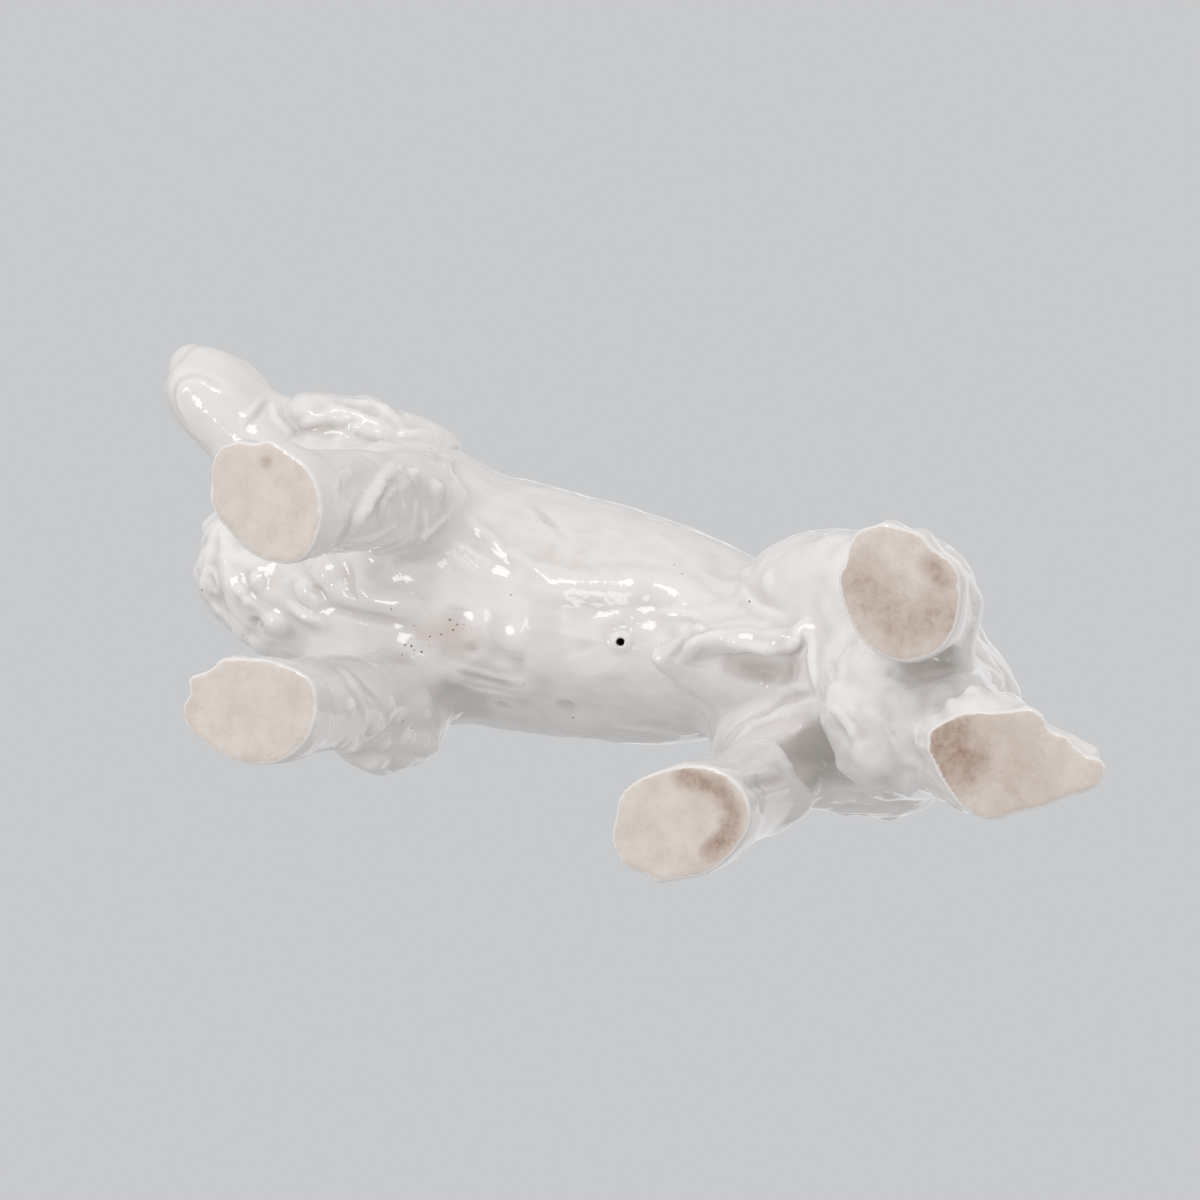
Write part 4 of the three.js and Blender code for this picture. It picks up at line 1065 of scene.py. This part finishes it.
LEG_TOP = 84
FACE_FRONT = -84
CURLS_FRONT, CURLS_REAR, CURLS_TOP = 54, 38, 160
FEATHER_DROP = 18
BREECHES_FRONT, BREECHES_REAR = 118, 132
BROAD_LUMPS, LUMPS, SMALL_LUMPS = 12, 6.5, 3.4
FACE_CALM = 0.25
COAT_COVER = 0.15
SOLE_MARGIN = 5
HOLLOW_REACH = 14


def ramp(value, low, high):
    t = np.clip((value - low) / (high - low), 0, 1)
    return t * t * (3 - 2 * t)


x, y, z = points.T
face = (labels == PIECES.index("head")) & (x < FACE_FRONT)
on_chest = ramp(-x, CURLS_REAR, CURLS_FRONT) * (labels == PIECES.index("torso")) * ramp(CURLS_TOP - z, 0, 30)
on_feather = ramp(10 - np.abs(z - ELBOW_HEIGHT + FEATHER_DROP), -22, 10) * ramp(x, -2, 8) * (x < 40)
on_breeches = ramp(x, BREECHES_FRONT, BREECHES_REAR) * (z > 8)
drawn_down = np.stack([x, y, 0.3 * np.minimum(z, LEG_TOP) + np.maximum(z - LEG_TOP, 0)], 1)
breadth = 0.45 + 1.3 * on_chest
broken = 0.3 + 1.9 * on_chest + 1.8 * on_feather * (y > 0) + 0.8 * on_breeches
modelling = breadth * lumps(drawn_down, BROAD_LUMPS, SEED) + broken * lumps(drawn_down, LUMPS, SEED + 1)
modelling += (0.14 + 0.2 * on_chest + 0.2 * on_breeches) * lumps(drawn_down, SMALL_LUMPS, SEED + 2)
modelling[face] *= FACE_CALM
relief = levelled(modelling + np.maximum(coat - COAT_COVER, 0), 2) + levelled(strokes + grooves, 1)
to_vent = np.hypot(x - VENT[0], y - VENT[1]) + np.where(z < BRISKET_HEIGHT + 10, 0, FAR)
relief *= np.clip((z - 1) / SOLE_MARGIN, 0, 1) * ramp(to_vent, 1.3, 4)
agreement = np.linalg.norm([levelled(normals[:, axis], 3) for axis in range(3)], axis=0)
relief *= np.clip((agreement - 0.8) / 0.14, 0, 1)
hollow = levelled(relief, HOLLOW_REACH) - relief
points = points + relief[:, None] * normals
normals = corner_normals(points, faces)


# Marks on the glaze by pixel, painted shade in pits and gaps by pixel, and stains on the soles by place:
# their width, strength and run

PHOTO_TINGES = {
    "chest_tinge": (22, 0.45, [(300, 560), (330, 575)]),
    "chest_side_tinge": (12, 0.45, [(278, 585)]),
    "belly_tinge": (17, 0.7, [(430, 628), (470, 645)]),
    "loin_tinge": (13, 0.5, [(548, 555), (575, 560)]),
    "right_hock_tinge": (9, 0.4, [(760, 800)]),
}
PHOTO_FLECKS = {
    "belly_flecks": (9, 1, [(405, 655), (420, 640), (458, 630)]),
    "elbow_flecks": (5, 1, [(440, 518), (455, 514)]),
    "right_elbow_flecks": (6, 1, [(403, 712), (410, 722)]),
    "vent_fleck": (3, 1, [(605, 654)]),
    "belly_fleck": (3, 1, [(626, 681)]),
}
# Painted shade: darker glaze painted into the pits and gaps by the hocks, under the ear, beside the tuft and
# behind the elbow, where shadow falls
PHOTO_PAINTED_SHADE = {
    "behind_right_hock": (30, 1.1, [(826, 752), (832, 768)]),
    "under_left_hock": (14, 0.9, [(925, 662), (950, 662)]),
    "under_ear": (7, 0.8, [(300, 433), (330, 432)]),
    "tuft_side": (13, 0.5, [(735, 668), (765, 674), (796, 670)]),
    "behind_right_elbow": (20, 0.6, [(452, 690), (470, 712)]),
}
SOLE_STAINS = {
    "left_fore_spot": (6, 0.9, [(-4, -37)]),
    "left_fore_edge": (8, 0.25, [(-2, -16), (8, -22)]),
    "right_fore_edge": (8, 0.25, [(14, 20), (16, 32)]),
    "left_hind_corner": (11, 0.85, [(174, -42), (178, -38)]),
    "left_hind_lower": (27, 0.8, [(158, -34), (170, -26), (178, -30)]),
    "right_hind_crescent": (10, 1.05, [(121, 21), (130, 22), (135, 27), (134.5, 33), (131, 38)]),
    "tail_front": (30, 1.1, [(184, -1), (189, 3)]),
    "tail_middle": (44, 0.6, [(194, -1), (202, 4)]),
}


def painted(marks, place_of):
    amount = np.zeros(len(points))
    for width, strength, places in marks.values():
        run = np.array([place for place in map(place_of, places) if place is not None])
        near, _, rise = round_top(run, width)
        amount[near] = np.maximum(amount[near], strength * rise)
    return amount


surface_marks = {
    # Glaze pooled in the hollows, plus painted shade in the pits and gaps where shadow falls
    "pooled_glaze_and_painted_shade": np.clip(0.5 + 1.1 * hollow, 0, 1) + painted(PHOTO_PAINTED_SHADE, on_skin),
    "tinge": painted(PHOTO_TINGES, on_skin),
    "fleck": painted(PHOTO_FLECKS, on_skin),
    "stain": painted(SOLE_STAINS, lambda place: np.array([*place, 0.0])),
    # The vent pit, painted dark as the shadow in the hole
    "bore": ramp(-to_vent, -VENT_WIDTH / 2 - 0.35, -VENT_WIDTH / 2),
}
owner = piece_of(points[faces].mean(1))


def rim_loops(piece_faces):
    """The closed loops of corners round the piece, where its neighbours begin."""
    ends = np.concatenate([piece_faces[:, [n, (n + 1) % 4]] for n in range(4)])
    key = np.sort(ends, 1) @ [1 << 32, 1]
    _, first, count = np.unique(key, return_index=True, return_counts=True)
    onward = {}
    for a, b in ends[first[count == 1]]:
        onward.setdefault(int(a), []).append(int(b))
    loops = []
    while onward:
        start = next(iter(onward))
        loop = [start]
        while True:
            here = loop[-1]
            following = onward[here].pop()
            if not onward[here]:
                del onward[here]
            if following == start:
                break
            loop.append(following)
        loops.append(loop)
    return loops


def to_row(places):
    return places * MM + DOG_ORIGIN


CAP_DEPTH, CAP_SLACK = 3, 0.4


def casting(name, number):
    """One piece of the skin, closed by a cap where the cap stays inside the dog, or else by a lip."""
    own = faces[owner == number]
    caps, middles = [], []
    for loop in rim_loops(own):
        middle = (points[loop] - CAP_DEPTH * normals[loop]).mean(0)
        spokes = [share * points[loop] + (1 - share) * middle for share in (0, 0.3, 0.6, 0.85)]
        if figure(np.concatenate(spokes)).max() < CAP_SLACK:
            hub = len(points) + len(middles)
            middles.append(middle)
            caps += [(b, a, hub) for a, b in zip(loop, loop[1:] + loop[:1])]
            continue
        lip = len(points) + len(middles)
        middles += list(points[loop] - CAP_DEPTH * normals[loop])
        count = len(loop)
        caps += [(loop[(n + 1) % count], loop[n], lip + n, lip + (n + 1) % count) for n in range(count)]
    everywhere = np.concatenate([points, np.array(middles).reshape(-1, 3)])
    used = np.unique(np.concatenate([own.ravel(), *(np.array(cap) for cap in caps)]))
    renumber = np.full(len(everywhere), -1)
    renumber[used] = np.arange(len(used))
    mesh = bpy.data.meshes.new(name)
    polygons = renumber[own].tolist() + [[int(renumber[corner]) for corner in cap] for cap in caps]
    mesh.from_pydata(to_row(everywhere[used]).tolist(), [], polygons)
    mesh.polygons.foreach_set("use_smooth", np.ones(len(polygons), bool))
    lay = np.concatenate([normals, np.tile([0, 0, 1.0], (len(middles), 1))])[used]
    mesh.normals_split_custom_set_from_vertices(lay.tolist())
    for kind, amount in surface_marks.items():
        shown = np.concatenate([amount, np.zeros(len(middles))])[used]
        mesh.attributes.new(kind, "FLOAT", "POINT").data.foreach_set("value", shown.astype(np.float32))
    piece = bpy.data.objects.new(name + "_glazed", mesh)
    bpy.context.scene.collection.objects.link(piece)
    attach(piece, "root")
    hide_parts(name)
    return piece


castings = [casting(name, number) for number, name in enumerate(PIECES)]


# Finishes


def from_hex(code):
    """An sRGB hex colour as linear red, green, blue and alpha."""
    channels = [int(code[i : i + 2], 16) / 255 for i in (1, 3, 5)]
    linear = [c / 12.92 if c <= 0.04045 else ((c + 0.055) / 1.055) ** 2.4 for c in channels]
    return (*linear, 1.0)


def add(tree, kind, settings=None, **links):
    """Adds one node. Settings are its properties, links its inputs: a value, or a node or socket to join."""
    node = tree.nodes.new(kind)
    for key, value in (settings or {}).items():
        setattr(node, key, value)
    for key, value in links.items():
        by_number = key[0] == "i" and key[1:].isdigit()
        socket = node.inputs[int(key[1:]) if by_number else key.replace("_", " ")]
        if isinstance(value, bpy.types.Node):
            value = value.outputs[0]
        if isinstance(value, bpy.types.NodeSocket):
            tree.links.new(value, socket)
        else:
            socket.default_value = value
    return node


def blank_material(name):
    material = bpy.data.materials.new(name)
    material.use_nodes = True
    material.node_tree.nodes.clear()
    return material, material.node_tree


# Below: the clean glaze, the grey of glaze lying thick in hollows, which also serves as lighter painted
# shade, and the deepest painted shade for pits and gaps
WHITE_GLAZE, POOLED_GLAZE_AND_PAINTED_SHADE, PAINTED_PIT_SHADE = "#ece9e7", "#ddd7d4", "#c2beb6"
# Below: the stain tinge, the iron flecks and the vent's painted shadow
TINGED_GLAZE, FLECK, PAINTED_VENT_SHADOW = "#dfd0c6", "#54382a", "#2c221c"
BISQUE, BISQUE_SHADE = "#dfd6cf", "#d0c5bc"
SOLE_STAIN, SOLE_STAIN_DEEP = "#bfac9f", "#947262"
FLOOR_PAPER, PALE_SURROUND = "#d8d8d8", "#c9cacc"
# Glaze is a smooth glass, and biscuit is dry and open-pored
GLAZE_ROUGHNESS, GLAZE_IOR = 0.06, 1.52
BISQUE_ROUGHNESS, BISQUE_IOR = 0.88, 1.5


def glazed_porcelain():
    """Clear glaze over white paste, fired once dipped: glass-smooth, greyer where it lies thick in the
    hollows, with painted shade in the deepest pits and gaps and a painted shadow in the vent. The soles are
    wiped bare before firing, so they show the dry biscuit with what it has soaked up since."""
    material, tree = blank_material("glazed_white_porcelain")
    place = add(tree, "ShaderNodeTexCoord").outputs["Object"]
    laid = {}
    for mark in surface_marks:
        laid[mark] = add(tree, "ShaderNodeAttribute", {"attribute_name": mark}).outputs["Fac"]
    smooth = {"interpolation_type": "SMOOTHSTEP"}

    def patchy(amount, none_at, all_at, width, swing, most=1, detail=3, roughness=0.55):
        """How much of a coat shows, as its amount goes from none_at to all_at. The amount swings by patches
        of that width in mm."""
        patches = add(
            tree, "ShaderNodeTexNoise",
            Vector=place, Scale=1 / (width * MM), Detail=detail, Roughness=roughness,
        )
        swung = add(tree, "ShaderNodeMath", {"operation": "MULTIPLY_ADD"}, i0=patches, i1=swing, i2=amount)
        return add(tree, "ShaderNodeMapRange", smooth, i0=swung, i1=none_at, i2=all_at, i4=most)

    def coated(base, *coats):
        """The base colour under coats of other colours, each by how much of it shows."""
        colour = from_hex(base)
        for share, coat in coats:
            over = add(tree, "ShaderNodeMix", {"data_type": "RGBA"}, i0=share, i6=colour, i7=from_hex(coat))
            colour = over.outputs[2]
        return colour

    def surface(colour, roughness, ior, width, depth, detail):
        """A surface that rises and falls in waves of that width and depth in mm."""
        waves = add(
            tree, "ShaderNodeTexNoise", Vector=place, Scale=1 / (width * MM), Detail=detail, Roughness=0.55,
        )
        relief = add(tree, "ShaderNodeBump", Strength=0.3, Distance=depth * MM, Height=waves)
        return add(
            tree, "ShaderNodeBsdfPrincipled", Base_Color=colour, Roughness=roughness, IOR=ior, Normal=relief,
        )

    # Pooling: the glaze is thickest and greyest in the hollows of the modelling. Painted shade darkens the
    # pits and gaps where shadow falls, darkest where it is strongest
    pooled_and_painted_shade = patchy(laid["pooled_glaze_and_painted_shade"], 0.45, 1.2, width=11.11, swing=0.35)
    painted_pit_shade_mask = add(tree, "ShaderNodeMapRange", smooth, i0=laid["pooled_glaze_and_painted_shade"], i1=0.9, i2=1.9)
    tinged = patchy(laid["tinge"], 0.85, 1.65, width=5, swing=1.4, most=0.75, detail=4)

    # Flecks: iron in the paste, burnt to dark specks about half a millimetre wide, in cells of a millimetre
    cells = add(tree, "ShaderNodeTexVoronoi", Vector=place, Scale=1 / MM, Randomness=1)
    chosen = add(tree, "ShaderNodeSeparateColor", i0=cells.outputs["Color"])
    odds = add(tree, "ShaderNodeMath", {"operation": "MULTIPLY_ADD"}, i0=laid["fleck"], i1=0.16, i2=0.0008)
    is_fleck = add(tree, "ShaderNodeMath", {"operation": "LESS_THAN"}, i0=chosen, i1=odds)
    fleck = patchy(cells.outputs["Distance"], 1.01, 0.81, width=0.3333, swing=1.3, most=is_fleck)
    # The last coat is the vent's painted shadow
    glazed = coated(
        WHITE_GLAZE, (pooled_and_painted_shade, POOLED_GLAZE_AND_PAINTED_SHADE), (painted_pit_shade_mask, PAINTED_PIT_SHADE), (tinged, TINGED_GLAZE),
        (fleck, FLECK), (laid["bore"], PAINTED_VENT_SHADOW),
    )

    # Soles: dry biscuit, clouded, stained and flecked by what the dog has stood on
    clouds = patchy(0, 0.3, 0.75, width=7.143, swing=1, detail=5, roughness=0.7)
    soaked = patchy(laid["stain"], 0.6, 1.4, width=3.333, swing=0.9, most=0.8, detail=6, roughness=0.75)
    deep = patchy(laid["stain"], 1.45, 2.4, width=3.333, swing=1.6, detail=6, roughness=0.75)
    grain = patchy(0, 0.35, 0.75, width=0.625, swing=1, most=0.05, detail=2)
    dust = patchy(0, 0.73, 0.8, width=0.9091, swing=1, most=0.4, detail=1)
    bare = coated(
        BISQUE, (clouds, BISQUE_SHADE), (soaked, SOLE_STAIN), (deep, SOLE_STAIN_DEEP),
        (grain, SOLE_STAIN_DEEP), (dust, SOLE_STAIN_DEEP),
    )

    # The glaze was wiped off to just above the ground, along a slightly wandering line
    height = add(tree, "ShaderNodeSeparateXYZ", i0=place).outputs[2]
    is_bare = patchy(height, 0.465 * MM, 0.245 * MM, width=2, swing=0.25 * MM, detail=2)

    # The glaze ran in faint ripples. The biscuit's grain is finer than the render shows, so it is drawn
    # nearly half a millimetre wide
    glassy = surface(glazed, GLAZE_ROUGHNESS, GLAZE_IOR, width=3.333, depth=0.4, detail=2)
    dry = surface(bare, BISQUE_ROUGHNESS, BISQUE_IOR, width=0.4545, depth=0.1, detail=3)
    mixed = add(tree, "ShaderNodeMixShader", i0=is_bare, i1=glassy, i2=dry)
    add(tree, "ShaderNodeOutputMaterial", Surface=mixed)
    return material


glaze = glazed_porcelain()
for piece in castings:
    piece.data.materials.append(glaze)


# Studio, in metres: a pale floor that is clear from below, a pale surround and softboxes

FLOOR_HALF, FLOOR_GAP = 3.0, 0.0002


def studio_floor():
    mesh = bpy.data.meshes.new("floor")
    corners = [(-FLOOR_HALF, -FLOOR_HALF, 0), (FLOOR_HALF, -FLOOR_HALF, 0)]
    corners += [(FLOOR_HALF, FLOOR_HALF, 0), (-FLOOR_HALF, FLOOR_HALF, 0)]
    mesh.from_pydata(corners, [], [(0, 1, 2, 3)])
    floor = bpy.data.objects.new("floor", mesh)
    bpy.context.scene.collection.objects.link(floor)
    floor.location.z = -FLOOR_GAP
    floor.visible_shadow = False
    floor.visible_glossy = False
    floor.visible_diffuse = False
    # Matt backdrop paper: pale and without gloss, and clear from below, where the photograph was taken
    material, tree = blank_material("matt_backdrop_paper")
    from_below = add(tree, "ShaderNodeNewGeometry").outputs["Backfacing"]
    paper = add(tree, "ShaderNodeBsdfDiffuse", Color=from_hex(FLOOR_PAPER))
    clear = add(tree, "ShaderNodeBsdfTransparent")
    mixed = add(tree, "ShaderNodeMixShader", i0=from_below, i1=paper, i2=clear)
    add(tree, "ShaderNodeOutputMaterial", Surface=mixed)
    mesh.materials.append(material)


LIT_SIDE = -0.85 * TO_PHOTO_FOOT - 0.4 * INTO_PHOTO
DIM, BRIGHT = 0.5, 0.8


def surround():
    world = bpy.data.worlds.new("surround")
    world.use_nodes = True
    tree = world.node_tree
    tree.nodes.clear()
    by_camera = add(tree, "ShaderNodeLightPath").outputs["Is Camera Ray"]
    toward = add(tree, "ShaderNodeTexCoord").outputs["Generated"]
    facing = add(tree, "ShaderNodeVectorMath", {"operation": "DOT_PRODUCT"}, i0=toward, i1=tuple(LIT_SIDE))
    strength = add(
        tree, "ShaderNodeMapRange", i0=facing.outputs["Value"], i1=-0.8, i2=0.9, i3=DIM, i4=BRIGHT,
    )
    light = add(tree, "ShaderNodeBackground", Color=(1, 1, 1, 1), Strength=strength)
    seen = add(tree, "ShaderNodeBackground", Color=from_hex(PALE_SURROUND), Strength=1)
    mixed = add(tree, "ShaderNodeMixShader", i0=by_camera, i1=light, i2=seen)
    add(tree, "ShaderNodeOutputWorld", Surface=mixed)
    bpy.context.scene.world = world


AIM = (0, 0, 0.1)
# Each softbox's place, its width and height, and its watts
SOFTBOXES = {
    "underside_softbox": ((-0.1, -1.0, -0.75), (0.45, 0.35), 2.8),
    "underside_fill": ((0.3, -0.25, -1.25), (0.42, 0.26), 1.1),
    "chest_softbox": ((-0.62, 0.02, -0.95), (0.34, 0.26), 1.8),
    "overhead_softbox": ((0.1, 0.2, 1.6), (1.2, 1.2), 1.4),
}


def softbox(name, place, size, watts):
    light = bpy.data.lights.new(name, "AREA")
    light.shape = "RECTANGLE"
    light.size, light.size_y = size
    light.energy = watts
    lamp = bpy.data.objects.new(name, light)
    lamp.location = place
    lamp.rotation_euler = (Vector(AIM) - Vector(place)).to_track_quat("-Z", "Y").to_euler()
    lamp.visible_camera = False
    bpy.context.scene.collection.objects.link(lamp)


def photo_camera():
    data = bpy.data.cameras.new("camera")
    data.sensor_width = 36
    data.lens = data.sensor_width * FOCAL_LENGTH_PIXELS / PHOTO_SIZE
    data.clip_start = 0.05
    camera = bpy.data.objects.new("camera", data)
    axes = Matrix([TO_PHOTO_RIGHT, -TO_PHOTO_FOOT, -INTO_PHOTO]).transposed()
    camera.matrix_world = Matrix.Translation(to_row(CAMERA_PLACE)) @ axes.to_4x4()
    bpy.context.scene.collection.objects.link(camera)
    bpy.context.scene.camera = camera


studio_floor()
surround()
for name, (place, size, watts) in SOFTBOXES.items():
    softbox(name, place, size, watts)
photo_camera()
bpy.context.scene.view_settings.view_transform = "Standard"
